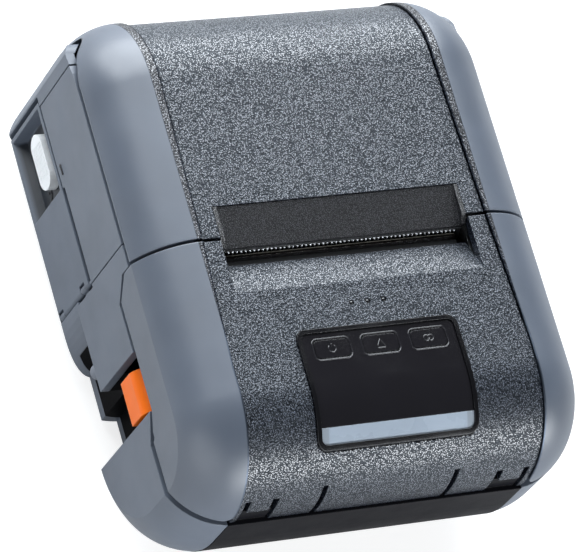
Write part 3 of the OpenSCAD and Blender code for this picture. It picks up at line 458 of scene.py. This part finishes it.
@dataclass(frozen=True)
class Bumper(Leather):
    """Smooth plastic that takes on the covers' leather grain in a strip beside them.

    The strip ends at a distance from the middle plane. A thin dark line follows the seam with the covers. It
    starts at seam_foot from the middle plane and runs outwards in straight stretches: each goes from one
    place along the printer to another, and adds its shift.
    """

    cover: Colour = COVER_COLOUR
    strip: float = 0.0366
    strip_edge: float = 0.0001
    seam_foot: float = 0.0344
    seam_stretches: Tuple[Point, ...] = ((0.0365, -0.003, 0.001), (-0.003, -0.033, 0.0014))
    seam_span: Pair = (0.0005, 0.0002)

    def grained(self, s: Shader) -> Value:
        """Gives 1 on the grained strip, nearer to the middle than its edge, and 0 elsewhere."""
        away = abs(s.where(Axis.ACROSS))
        return s.ramp(away, self.strip + self.strip_edge, self.strip - self.strip_edge)

    def relief(self, s: Shader) -> Value:
        """Gives the height: the leather's on the strip, and a very fine grain elsewhere."""
        return s.noise(6000.0, 3.0, 0.6) * 0.03 + super().relief(s) * self.grained(s)

    def tone(self, s: Shader, relief: Value) -> Value:
        """Gives the colour: the covers' on the strip, with its painted crease shade and grain highlight, and
        the bumper's own elsewhere.

        Args:
            s: The shader.
            relief: The height of the grain.

        Returns:
            The colour.
        """
        height = s.ramp(relief, *self.tone_span) * (1.0 - self.seam(s))
        cover = self.shades(s, height, self.cover)
        return s.mix(self.grained(s), Plastic.tone(self, s, relief), cover)

    def seam(self, s: Shader) -> Value:
        """Marks the thin dark line along the seam with the covers.

        Args:
            s: The shader.

        Returns:
            1 on the line and 0 elsewhere.
        """
        away = abs(s.where(Axis.ACROSS))
        along = s.where(Axis.ALONG)
        line = self.seam_foot
        for first, last, shift in self.seam_stretches:
            line = line + s.ramp(along, first, last) * shift
        return s.ramp(away - line, *self.seam_span)

    def shine(self, s: Shader, relief: Value) -> Tuple[Value, Value]:
        """Gives the leather's coat and lost reflection, which is painted shade in its creases, on the strip,
        and no reflection on the seam.

        Args:
            s: The shader.
            relief: The height of the grain.

        Returns:
            The clear coat and the lost reflection.
        """
        grained, seam = self.grained(s), self.seam(s)
        coat, lost = super().shine(s, relief)
        creases = lost * grained
        return coat * grained * (1.0 - seam), creases + (1.0 - creases) * seam


@dataclass(frozen=True)
class Pocketed(Plastic):
    """Plastic of the door, with painted shade that darkens it towards the bottom of its pocket."""

    face: float = -0.0496
    rear: float = 0.0482
    rear_edge: float = 0.0005
    painted_shade_depths: Pair = (0.0001, 0.0014)
    painted_pocket_shade: float = 0.2

    def tone(self, s: Shader, relief: Value) -> Value:
        """Gives the colour: painted shade, darker with the depth below the door's face, in front of its rear
        end.

        Args:
            s: The shader.
            relief: The height of the grain.

        Returns:
            The colour.
        """
        # painted shade deepens below the door's face, but not on the pocket's rear wall
        depth = s.where(Axis.ACROSS) - self.face
        ahead = s.ramp(s.where(Axis.ALONG), self.rear, self.rear - self.rear_edge)
        return s.mix(s.ramp(depth, *self.painted_shade_depths) * ahead, super().tone(s, relief),
                     shaded(self.colour, self.painted_pocket_shade))


@dataclass(frozen=True)
class Framed(Plastic):
    """Silver plastic with a greyer frame at its two ends."""

    half: float = 0.0172
    half_edge: float = 0.0001
    frame: Colour = linear(128, 134, 140)
    frame_share: float = 0.6

    def tone(self, s: Shader, relief: Value) -> Value:
        """Gives the colour: greyer beyond the half length.

        Args:
            s: The shader.
            relief: The height of the grain.

        Returns:
            The colour.
        """
        away = abs(s.where(Axis.ACROSS))
        frame = s.ramp(away, self.half - self.half_edge, self.half + self.half_edge)
        return s.mix(frame * self.frame_share, super().tone(s, relief), self.frame)


@dataclass(frozen=True)
class HeadCeramic(Plastic):
    """Print head: glazed ceramic with a brown line of heating dots and gold tracks, dark in front of its rear
    face as painted shade of the paper slot.

    The line and the tops of the tracks are heights, and the rear is where the painted shade begins. The wave
    is in
    radians per metre: tracks 0.8 mm apart.
    """

    line: float = 0.0505
    line_span: Pair = (0.0006, 0.0005)
    line_colour: Colour = linear(92, 58, 40)
    tracks: float = 0.0462
    wave: float = 7854.0
    gold: Colour = linear(196, 158, 84)
    rear: float = -0.00436
    painted_slot_shade: Colour = linear(30, 22, 20)

    def tone(self, s: Shader, relief: Value) -> Value:
        """Gives the colour: the brown line, gold tracks on ceramic further down, and painted shade in front
        of the rear face.

        Args:
            s: The shader.
            relief: The height of the grain.

        Returns:
            The colour.
        """
        rise = s.where(Axis.RISE)
        swing = s.value("ShaderNodeMath", {"operation": "SINE"}, [s.where(Axis.ACROSS) * self.wave])
        track = s.ramp(swing, -0.2, 0.2) * s.ramp(rise, self.tracks + 0.0001, self.tracks)
        ground = s.mix(track, super().tone(s, relief), self.gold)
        glazed = s.mix(s.ramp(abs(rise - self.line), *self.line_span), ground, self.line_colour)
        # painted shade of the paper slot, in front of the head's rear face
        behind = s.ramp(s.where(Axis.ALONG), self.rear, self.rear - 0.0002)
        return s.mix(behind, glazed, self.painted_slot_shade)


@dataclass(frozen=True)
class Metal:
    """Sheet or turned metal with fine lines along one axis, and faint stains.

    The lines are noise in waves per metre for each axis. Depth and edge are in metres.
    """

    name: str
    colour: Colour
    roughness: float
    lines: Point = (60.0, 4000.0, 4000.0)
    depth: float = 0.000004
    edge: float = 0.00012
    stains: float = 220.0
    stain_shade: float = 0.8

    def material(self) -> bpy.types.Material:
        """Builds the material.

        Returns:
            The finished material.
        """
        s = Shader(self.name, self.roughness, 1.0)
        drawn = s.value("ShaderNodeMapping", {}, {"Vector": s.place, "Scale": self.lines})
        line = s.value("ShaderNodeTexNoise", {}, {"Vector": drawn, "Scale": 1.0, "Detail": 2.0})
        stain = s.ramp(s.noise(self.stains, 4.0), 0.4, 0.7)
        s.feed("Base Color", s.mix(stain * 0.5, self.colour, shaded(self.colour, self.stain_shade)))
        s.feed("Roughness", self.roughness + line * 0.12 + stain * 0.06 - 0.08)
        s.bump(line, self.depth, self.edge)
        return s.material


@dataclass(frozen=True)
class Board:
    """Circuit board: solder mask over faint tracks."""

    name: str
    colour: Colour
    roughness: float = 0.3
    tracks: float = 420.0
    track_shade: float = 1.7
    depth: float = 0.00002

    def material(self) -> bpy.types.Material:
        """Builds the material.

        Returns:
            The finished material.
        """
        s = Shader(self.name, self.roughness)
        cells = s.value("ShaderNodeTexVoronoi", {"feature": "F1", "distance": "CHEBYCHEV"},
                        {"Vector": s.place, "Scale": self.tracks})
        tracks = s.ramp(cells, 0.3, 0.36)
        s.feed("Base Color", s.mix(tracks, self.colour, shaded(self.colour, self.track_shade)))
        s.feed("Roughness", self.roughness + tracks * 0.1)
        s.bump(tracks, self.depth)
        return s.material


@dataclass(frozen=True)
class Clear:
    """Clear plastic of the light guides."""

    name: str
    colour: Colour
    clearness: float = 0.6

    def material(self) -> bpy.types.Material:
        """Builds the material.

        Returns:
            The finished material.
        """
        s = Shader(self.name, 0.12)
        s.feed("Base Color", s.mix(s.noise(800.0), self.colour, shaded(self.colour, 0.8)))
        s.constant("Transmission Weight", self.clearness)
        s.bump(s.noise(2000.0), 0.000003)
        return s.material


def finishes() -> Dict[str, Tuple[Any, Sequence[str]]]:
    """Lists each finish with the nodes that it dresses.

    Returns:
        Finish and nodes by name.
    """
    black = Plastic("black_shell", linear(15, 15, 20), 0.55, edge=0.0003, sheen=0.12)
    # painted shade: near-black and almost unreflecting, so the gaps and the recess that these parts line look
    # shaded
    liner = Plastic("black_liner_painted_shade", linear(9, 9, 12), 0.6, sheen=0.04)
    sides = Plastic("side_shell", linear(94, 102, 115), 0.45, grain=5000.0, depth=0.00001, edge=0.0003,
                    sheen=0.7)
    door = Pocketed("door_shell", sides.colour, 0.45, grain=5000.0, depth=0.00001, edge=0.0003)
    grained = Leather("grained_shell", COVER_COLOUR, 0.32, grain=2900.0, depth=0.00017, edge=0.0003,
                      sheen=0.9, tint=(0.84, 0.92, 1.0))
    hood = Leather("hood_shell", linear(33, 34, 43), 0.5, grain=4200.0, depth=0.00008, edge=0.0003,
                   crease=0.0)
    bumper = Bumper("bumper_shell", linear(86, 94, 107), 0.42, grain=2700.0, depth=0.00016, edge=0.0004,
                    sheen=0.9)
    inside = Plastic("inside_moulding", linear(44, 44, 48), 0.5, edge=0.0003)
    gloss = Plastic("panel_gloss", linear(26, 25, 29), 0.12, grain=400.0, depth=0.000002, coat=0.6)
    rim = Plastic("rim_gloss", linear(15, 15, 18), 0.16, grain=400.0, depth=0.000002, coat=0.4)
    bar = Framed("silver_bar", linear(160, 172, 186), 0.3, grain=5000.0, depth=0.000004, coat=0.3)
    orange = Plastic("orange_lever", linear(255, 116, 12), 0.4, grain=5000.0, depth=0.000008, coat=0.1,
                     edge=0.0005, sheen=0.3)
    white = Plastic("white_knob", linear(248, 250, 252), 0.35, grain=5000.0, depth=0.000006)
    post = Plastic("strap_post_grey", linear(120, 126, 138), 0.4, grain=5000.0, depth=0.00001)
    gear = Plastic("gear_plastic", linear(228, 226, 214), 0.42, depth=0.00001)
    rubber = Plastic("soft_rubber", linear(36, 36, 38), 0.78, grain=2600.0, depth=0.00004)
    ceramic = HeadCeramic("head_ceramic", linear(225, 220, 205), 0.3, depth=0.000005)
    wrap = Plastic("battery_wrap", linear(52, 54, 60), 0.4, grain=2500.0, depth=0.00001)
    steel = Metal("bright_steel", linear(205, 207, 210), 0.3)
    sheet = Metal("plated_sheet", linear(198, 201, 204), 0.38, lines=(4000.0, 80.0, 4000.0))
    cast = Metal("sink_aluminium", linear(200, 203, 207), 0.42, lines=(4000.0, 4000.0, 60.0))
    brass = Metal("brass_pinion", linear(214, 182, 104), 0.32)
    board = Board("green_board", linear(18, 92, 52))
    clear = Clear("light_guide_clear", linear(226, 240, 232))
    return {
        "door": (door, ("battery_door",)),
        "black": (black, ("bottom_case",)),
        "liner": (liner, ("mid_frame", "recess_liner")),
        "sides": (sides, ("left_side_case", "right_side_case", "connector_cover")),
        "grained": (grained, ("front_cover", "roll_cover")),
        "hood": (hood, ("exit_hood",)),
        "bumper": (bumper, ("left_bumper", "right_bumper", "cover_left_bumper", "cover_right_bumper")),
        "inside": (inside, ("roll_tray", "cover_frame", "paper_sensor", "battery_contacts",
                            "power_jack")),
        "rim": (rim, ("panel_rim",)),
        "gloss": (gloss, ("panel_window", "power_key", "feed_key", "link_key")),
        "bar": (bar, ("panel_bar",)),
        "orange": (orange, ("release_lever",)),
        "white": (white, ("battery_latch",)),
        "post": (post, ("strap_post",)),
        "gear": (gear, ("idler_gear", "platen_gear", "platen_bushes")),
        "rubber": (rubber, ("platen_rubber", "rubber_feet")),
        "ceramic": (ceramic, ("print_head",)),
        "wrap": (wrap, ("battery_pack",)),
        "steel": (steel, ("head_springs", "lever_studs", "lever_spring", "hinge_pin", "hinge_spring",
                          "platen_shaft", "door_pin", "cover_pin", "idler_stud", "tear_bar",
                          "case_screws")),
        "sheet": (sheet, ("head_frame", "stepper_motor", "usb_jack")),
        "cast": (cast, ("heat_sink",)),
        "brass": (brass, ("motor_pinion",)),
        "board": (board, ("main_board", "connector_board", "panel_board")),
        "clear": (clear, ("light_guides",)),
    }


def dress_nodes(nodes: Dict[str, bpy.types.Object]) -> None:
    """Gives every solid its finish.

    Args:
        nodes: The solids by name.
    """
    done = set()
    for name, (finish, members) in finishes().items():
        material = finish.material()
        for node in members:
            nodes[node].data.materials.clear()
            nodes[node].data.materials.append(material)
            done.add(node)
        LOG.info("finish %s on %d solids", name, len(members))
    left = sorted(set(nodes) - done)
    if left:
        raise ValueError(f"no finish for {left}")


def lay(name: str, grids: Sequence[np.ndarray], finish: bpy.types.Material, body: Body) -> bpy.types.Object:
    """Turns grids of points into one smooth piece that rides on a body.

    Args:
        name: Name of the piece.
        grids: Points in millimetres, each rows by columns by 3.
        finish: The material.
        body: The body that it rides on.

    Returns:
        The piece.
    """
    faces, start = [], 0
    for grid in grids:
        index = np.arange(grid.shape[0] * grid.shape[1]).reshape(grid.shape[:2]) + start
        quads = [index[:-1, :-1], index[:-1, 1:], index[1:, 1:], index[1:, :-1]]
        faces.append(np.stack(quads, -1).reshape(-1, 4))
        start += index.size
    mesh = bpy.data.meshes.new(name)
    points = np.concatenate([grid.reshape(-1, 3) for grid in grids]) * MM
    mesh.from_pydata(points.tolist(), [], np.concatenate(faces).tolist())
    mesh.polygons.foreach_set("use_smooth", np.ones(len(mesh.polygons), bool))
    mesh.materials.append(finish)
    piece = bpy.data.objects.new(name, mesh)
    bpy.context.scene.collection.objects.link(piece)
    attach(piece, body.value)
    LOG.info("%s: %d faces on %s", name, len(mesh.polygons), body.value)
    return piece


def reach(points: np.ndarray) -> np.ndarray:
    """Gives the way from the first point to each point."""
    return np.concatenate([[0.0], np.cumsum(np.linalg.norm(np.diff(points, axis=0), axis=1))])


def route(*corners: Sequence[float]) -> np.ndarray:
    """Runs straight from corner to corner in even steps.

    Args:
        corners: Points of two or more numbers.

    Returns:
        The points along the way: corner + (next corner - corner) times the share of the way.
    """
    ends = np.asarray(corners, float)
    way = reach(ends)
    steps = np.linspace(0.0, way[-1], max(3, int(way[-1] / ROUTE_STEP)))
    return np.stack([np.interp(steps, way, ends[:, k]) for k in range(ends.shape[1])], -1)


def arc(middle: Pair, radius: float, first: float, last: float) -> np.ndarray:
    """Gives points of an arc: middle + radius * (cos a, sin a), with a from first to last in degrees."""
    turn = np.radians(np.linspace(first, last, ARC_POINTS))
    return np.stack([middle[0] + radius * np.cos(turn), middle[1] + radius * np.sin(turn)], -1)


@dataclass(frozen=True)
class Plane:
    """A face of the printer that marks are drawn on, in millimetres."""

    origin: Point
    right: Point
    up: Point

    def ridge(self, path: np.ndarray, width: float, height: float) -> np.ndarray:
        """Raises a rounded ridge along a flat path.

        The section at each point is half an ellipse on a flat foot: point + across * width / 2 * cos a
        + out * height * sin a, for a from 0 to pi. Both ends narrow as sqrt(1 - (1 - d / (width / 2))^2),
        where d is the way from the end.

        Args:
            path: Points on the plane, two numbers each, in millimetres.
            width: Width of the ridge.
            height: Height of the ridge.

        Returns:
            The grid of points.
        """
        right, up = np.asarray(self.right, float), np.asarray(self.up, float)
        out = np.cross(right, up)
        way = np.asarray(self.origin) + path[:, :1] * right + path[:, 1:] * up
        step = np.gradient(way, axis=0)
        along = step / np.maximum(np.linalg.norm(step, axis=1, keepdims=True), TINY)
        across = np.cross(out, along)
        walked = reach(way)
        near = np.minimum(np.minimum(walked, walked[-1] - walked) / (width / 2), 1.0)
        narrow = np.sqrt(np.maximum(1.0 - (1.0 - near) ** 2, 0.0))[:, None, None]
        turn = np.append(np.linspace(0.0, math.pi, RIDGE_POINTS), 0.0)[None, :, None]
        return (way[:, None] + across[:, None] * (width / 2) * narrow * np.cos(turn)
                + out * height * narrow * np.sin(turn))


@dataclass
class DoorMarks:
    """Raised 1 and 2 beside the latch, for the knob's two places, in millimetres.

    The 1 has a flag that goes left and down from its top. The 2 is a bend, a slope and a foot. The bend runs
    between two angles. The slope starts to the right and below the top, in shares of the bend's radius.
    """

    height: float = 2.5
    width: float = 1.5
    stroke: float = 0.6
    rise: float = 0.3
    flag: Pair = (0.45, 0.5)
    bend: Pair = (165.0, -35.0)
    slope: Pair = (0.6, 1.75)
    one: Point = (-49.6, 29.9, 31.2)
    two: Point = (-46.6, 30.6, 15.9)

    def build(self, finish: bpy.types.Material) -> None:
        """Builds both marks.

        Args:
            finish: The material of both.
        """
        radius = self.width / 2
        one = route((-self.flag[0], self.height - self.flag[1]), (0.0, self.height), (0.0, 0.0))
        start = (radius * self.slope[0], self.height - radius * self.slope[1])
        two = np.concatenate([arc((0.0, self.height - radius), radius, *self.bend),
                              route(start, (-radius, 0.0), (radius, 0.0))])
        for name, place, path, body in (("mark_one", self.one, one, Body.FLAP),
                                        ("mark_two", self.two, two, Body.DOOR)):
            face = Plane(place, (0.0, 0.0, 1.0), (0.0, 1.0, 0.0))
            lay(name, [face.ridge(path, self.stroke, self.rise)], finish, body)


@dataclass
class KeyMarks:
    """Raised outline round each key of the panel, and a plain sign on each key, in millimetres.

    The left sign is an open ring with a bar, the middle one a triangle over a line, the right one two rings.
    """

    pitch: float = 12.0
    middle: float = -30.9
    width: float = 9.3
    length: float = 5.1
    corner: float = 1.3
    stroke: float = 0.3
    rise: float = 0.12
    window_top: float = 60.5
    key_top: float = 60.55
    ring: float = 0.9
    ring_gap: Pair = (125.0, 415.0)
    bar: Pair = (0.3, 1.2)
    triangle: Pair = (0.9, -0.6)
    line: Pair = (1.0, -1.1)
    link: float = 0.7
    link_shift: float = 0.5

    def outline(self) -> np.ndarray:
        """Draws the rounded rectangle round a key, as four arcs joined by the straight ways between them.

        Returns:
            The closed path.
        """
        x, y = self.width / 2 - self.corner, self.length / 2 - self.corner
        corners = [arc(middle, self.corner, first, first + 90.0)
                   for middle, first in (((x, y), 0.0), ((-x, y), 90.0), ((-x, -y), 180.0), ((x, -y), 270.0))]
        return np.concatenate(corners + [corners[0][:1]])

    def signs(self) -> Dict[Body, Tuple[np.ndarray, np.ndarray]]:
        """Draws the sign of each key.

        Returns:
            Two paths for each key, from left to right.
        """
        side, foot = self.triangle
        half, drop = self.line
        return {
            Body.LEFT_KEY: (arc((0.0, 0.0), self.ring, *self.ring_gap),
                            route((0.0, self.bar[0]), (0.0, self.bar[1]))),
            Body.MIDDLE_KEY: (route((-side, foot), (0.0, side), (side, foot)),
                              route((-half, drop), (half, drop))),
            Body.RIGHT_KEY: (arc((-self.link_shift, 0.0), self.link, 0.0, 360.0),
                             arc((self.link_shift, 0.0), self.link, 180.0, 540.0)),
        }

    def build(self, finish: bpy.types.Material) -> None:
        """Builds the outlines and signs.

        Args:
            finish: The material of all of them.
        """
        east, north = (1.0, 0.0, 0.0), (0.0, 1.0, 0.0)
        for place, (body, paths) in zip((-self.pitch, 0.0, self.pitch), self.signs().items()):
            side = body.value.replace("key_", "")
            edge = Plane((place, self.middle, self.window_top), east, north)
            lay(f"{side}_key_outline", [edge.ridge(self.outline(), self.stroke, self.rise)], finish,
                Body.CASE)
            top = Plane((place, self.middle, self.key_top), east, north)
            lay(f"{side}_key_sign", [top.ridge(path, self.stroke, self.rise) for path in paths], finish, body)


@dataclass
class LightLenses:
    """Three dark lenses over the light guides, in millimetres."""

    places: Tuple[float, ...] = (-4.0, 0.0, 4.0)
    behind: float = -20.5
    foot: float = 60.1
    radius: float = 0.6
    rise: float = 0.42
    rings: int = 8
    sides: int = 24

    def build(self, finish: bpy.types.Material) -> None:
        """Builds the lenses: caps z = foot + rise * (1 - (r / radius)^2) over a flat foot.

        Args:
            finish: The material.
        """
        shares = np.append(np.linspace(1.0, 0.0, self.rings), 0.0)
        away = self.radius * np.append(0.0, shares)[:, None]
        dome = np.append(0.0, 1.0 - shares ** 2)[:, None]
        turn = np.linspace(0.0, 2 * math.pi, self.sides + 1)[None, :]
        grids = [np.stack([x + away * np.cos(turn), self.behind + away * np.sin(turn),
                           self.foot + self.rise * dome + 0.0 * turn], -1) for x in self.places]
        lay("light_lenses", grids, finish, Body.CASE)


@dataclass
class ReturnSpring:
    """Round wire coil that pushes the lever down, in millimetres; it rides on the lever.

    Wire is the wire's radius, and travel is the lever's; travel is not used. Both tips narrow over 1 / tips
    of the wire.
    """

    wire: float = 0.3
    turns: float = 4.0
    travel: float = 2.2
    tips: float = 60.0
    steps: int = 48
    sides: int = 12

    def build(self, finish: bpy.types.Material) -> None:
        """Builds the coil in the box of its solid.

        With u from 0 to 1 along the wire, t = 2 pi turns u, and b round the wire, a point is
        middle + (radius + wire cos b) * (cos t, sin t, 0) + (0, 0, z), where z is
        foot + wire + (length - 2 wire) u + wire sin b. The wire narrows to a point at both ends.

        Args:
            finish: The material.
        """
        low, high = (np.asarray(corner, float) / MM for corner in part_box("lever_spring"))
        middle, length = (low + high) / 2, high[2] - low[2]
        radius = (high[0] - low[0]) / 2 - self.wire
        u = np.linspace(0.0, 1.0, int(self.steps * self.turns) + 1)[:, None]
        b = np.linspace(0.0, 2 * math.pi, self.sides + 1)[None, :]
        turn = 2 * math.pi * self.turns * u
        thick = self.wire * np.sqrt(np.clip(np.minimum(u, 1.0 - u) * self.tips, 0.0, 1.0))
        away = radius + thick * np.cos(b)
        grid = np.stack([middle[0] + away * np.cos(turn), middle[1] + away * np.sin(turn),
                         low[2] + self.wire + (length - 2 * self.wire) * u + thick * np.sin(b)], -1)
        coil = lay("lever_return_spring", [grid[:, ::-1]], finish, Body.LEVER)
        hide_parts("lever_spring")
        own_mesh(coil)


@dataclass(frozen=True)
class Chip:
    """One part of a board: its middle, its size along the board and up, and how far it stands out."""

    along: float
    up: float
    wide: float
    high: float
    tall: float


@dataclass
class BoardParts:
    """Chips and capacitors on the connector board's inner face, in millimetres."""

    face: float = -38.0
    corner: float = 0.2
    chips: Tuple[Chip, ...] = (
        Chip(14.0, 38.5, 6.5, 5.0, 1.4), Chip(24.5, 41.0, 4.0, 4.0, 1.2), Chip(29.5, 34.5, 3.0, 3.0, 2.4),
        Chip(21.0, 33.5, 2.0, 1.2, 0.9), Chip(17.5, 33.5, 2.0, 1.2, 0.9), Chip(28.5, 42.0, 1.2, 2.0, 0.9),
    )

    def bent(self, wave: np.ndarray) -> np.ndarray:
        """Squares a wave: sign * |value|^corner, and 0 near 0."""
        return np.where(np.abs(wave) < TINY, 0.0, np.sign(wave) * np.abs(wave) ** self.corner)

    def build(self, finish: bpy.types.Material) -> None:
        """Builds each part as a rounded block.

        With c(a) = sign(cos a) |cos a|^corner and s(a) likewise, a point is middle + half size *
        (c(b) c(a), c(b) s(a), s(b)): a superellipsoid, nearly a block with rounded edges.

        Args:
            finish: The material.
        """
        a = np.linspace(0.0, 2 * math.pi, 49)[None, :]
        b = np.linspace(-math.pi / 2, math.pi / 2, 25)[:, None]
        out, ring = self.bent(np.sin(b)) + 0.0 * a, self.bent(np.cos(b))
        along, up = ring * self.bent(np.cos(a)), ring * self.bent(np.sin(a))
        grids = [np.stack([self.face + c.tall / 2 + c.tall / 2 * out, c.along + c.wide / 2 * along,
                           c.up + c.high / 2 * up], -1) for c in self.chips]
        lay("board_parts", grids, finish, Body.CASE)


@dataclass(frozen=True)
class Lamp:
    """A soft rectangular lamp that faces the printer, in metres and watts."""

    name: str
    place: Point
    width: float
    height: float
    power: float
    colour: Colour = (0.93, 0.97, 1.0)
    target: Point = (0.0, 0.0, 0.03)

    def hang(self) -> None:
        """Hangs the lamp."""
        data = bpy.data.lights.new(self.name, "AREA")
        data.shape = "RECTANGLE"
        data.size = self.width
        data.size_y = self.height
        data.energy = self.power
        data.color = self.colour
        lamp = bpy.data.objects.new(self.name, data)
        aim = (Vector(self.target) - Vector(self.place)).to_track_quat("-Z", "Y")
        lamp.matrix_world = Matrix.Translation(self.place) @ aim.to_matrix().to_4x4()
        bpy.context.scene.collection.objects.link(lamp)


@dataclass
class Studio:
    """Floor, lamps, room and camera: bright at the horizon in front and behind, dim overhead.

    The focal length and the camera's place are in millimetres, and the floor is in metres. The camera's axes
    are its right, up and back directions. Glow is the floor's own light, as strong as it takes to show white,
    and gloss_share is how much of it glossy reflections see.
    """

    focal: float = 288.4
    film: float = 36.0
    camera: Point = (-471.13, -372.01, 912.11)
    axes: Tuple[Point, Point, Point] = (
        (0.892548, -0.265603, 0.364435), (0.092501, 0.898794, 0.4285), (-0.441363, -0.348747, 0.826785),
    )
    far: float = 20.0
    floor_half: float = 6.0
    floor_top: float = -0.0002
    paper: float = 0.5
    paper_change: float = 0.03
    glow: float = 0.74
    gloss_share: float = 0.3
    room_colour: Colour = (0.93, 0.96, 1.0)
    overhead: float = 0.06
    horizon: float = 0.3
    horizon_span: Pair = (0.62, 0.05)
    ends: float = 0.2
    lamps: Tuple[Lamp, ...] = (
        Lamp("rear_lamp", (0.05, 1.20, 0.85), 2.2, 1.5, 72.0, (0.91, 0.96, 1.0)),
        Lamp("front_lamp", (0.6, -1.35, 0.36), 1.7, 0.68, 25.0),
        Lamp("left_lamp", (-1.3, -0.95, 0.5), 1.5, 0.9, 9.0),
    )

    def build(self) -> None:
        """Builds the floor and the room, hangs the lamps, and sets the camera."""
        self.floor()
        self.room()
        for lamp in self.lamps:
            lamp.hang()
        self.shoot()
        LOG.info("studio with %d lamps", len(self.lamps))

    def floor(self) -> None:
        """Lays the pale floor, which shows white to the camera and keeps the shadow.

        Glass sees the same white, and gloss a share of it.
        """
        half, top = self.floor_half, self.floor_top
        mesh = bpy.data.meshes.new("floor")
        mesh.from_pydata([(-half, -half, top), (half, -half, top), (half, half, top), (-half, half, top)],
                         [], [(0, 1, 2, 3)])
        floor = bpy.data.objects.new("floor", mesh)
        bpy.context.scene.collection.objects.link(floor)
        s = Shader("floor_paper", 0.9)
        s.feed("Base Color", s.mix(s.noise(3.0), (self.paper,) * 3, (self.paper + self.paper_change,) * 3))
        seen = s.value("ShaderNodeMath", {"operation": "ADD", "use_clamp": True},
                       [s.ray("Camera") + s.ray("Glossy") * self.gloss_share, s.ray("Transmission")])
        s.constant("Emission Color", (1.0, 1.0, 1.0, 1.0))
        s.feed("Emission Strength", seen * self.glow)
        floor.data.materials.append(s.material)

    def room(self) -> None:
        """Sets the room: pale at the horizon, dim overhead, and white where the camera or glass sees it.

        The strength is overhead + share * (horizon + ends * y^2), where the share falls from 1 at the horizon
        to 0 overhead, and y is the direction's part along the printer.
        """
        world = bpy.data.worlds.new("studio")
        bpy.context.scene.world = world
        world.use_nodes = True
        s = Tree(world.node_tree)
        back = next(n for n in world.node_tree.nodes if n.type == "BACKGROUND")
        way = s.value("ShaderNodeTexCoord", {}, [], output="Generated")
        along = s.part(way, Axis.ALONG)
        share = s.ramp(s.part(way, Axis.RISE), *self.horizon_span)
        strength = self.overhead + share * (self.horizon + along * along * self.ends)
        seen = s.ray("Camera") + s.ray("Transmission")
        back.inputs["Color"].default_value = (*self.room_colour, 1.0)
        world.node_tree.links.new((strength * (1.0 - seen) + seen).socket, back.inputs["Strength"])

    def shoot(self) -> None:
        """Sets the camera."""
        data = bpy.data.cameras.new("camera")
        data.lens = self.focal
        data.sensor_width = self.film
        data.clip_end = self.far
        camera = bpy.data.objects.new("camera", data)
        turn = Matrix([list(axis) for axis in self.axes]).transposed()
        camera.matrix_world = Matrix.Translation([c * MM for c in self.camera]) @ turn.to_4x4()
        bpy.context.scene.collection.objects.link(camera)
        bpy.context.scene.camera = camera


def main() -> None:
    """Loads the solids, dresses them, adds the details, and sets up the studio."""
    logging.basicConfig(level=logging.INFO, format="%(message)s")
    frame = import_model()
    bpy.context.scene.view_settings.view_transform = "Standard"
    dress_nodes(frame["nodes"])
    # the raised marks are dark with painted shade
    DoorMarks().build(Plastic("mark_painted_shade", linear(26, 28, 34), 0.3, edge=0.0).material())
    gloss = Plastic("mark_gloss", linear(36, 36, 41), 0.16, grain=2000.0, depth=0.000004, edge=0.0, coat=0.6)
    KeyMarks().build(gloss.material())
    lens = Plastic("lens_dark", linear(20, 22, 28), 0.1, grain=2000.0, depth=0.000003, edge=0.0, coat=0.8)
    LightLenses().build(lens.material())
    BoardParts().build(Plastic("chip_black", linear(30, 31, 34), 0.4, edge=0.0).material())
    ReturnSpring().build(Metal("spring_wire", linear(205, 207, 210), 0.3).material())
    Studio().build()


if __name__ == "__main__":
    main()
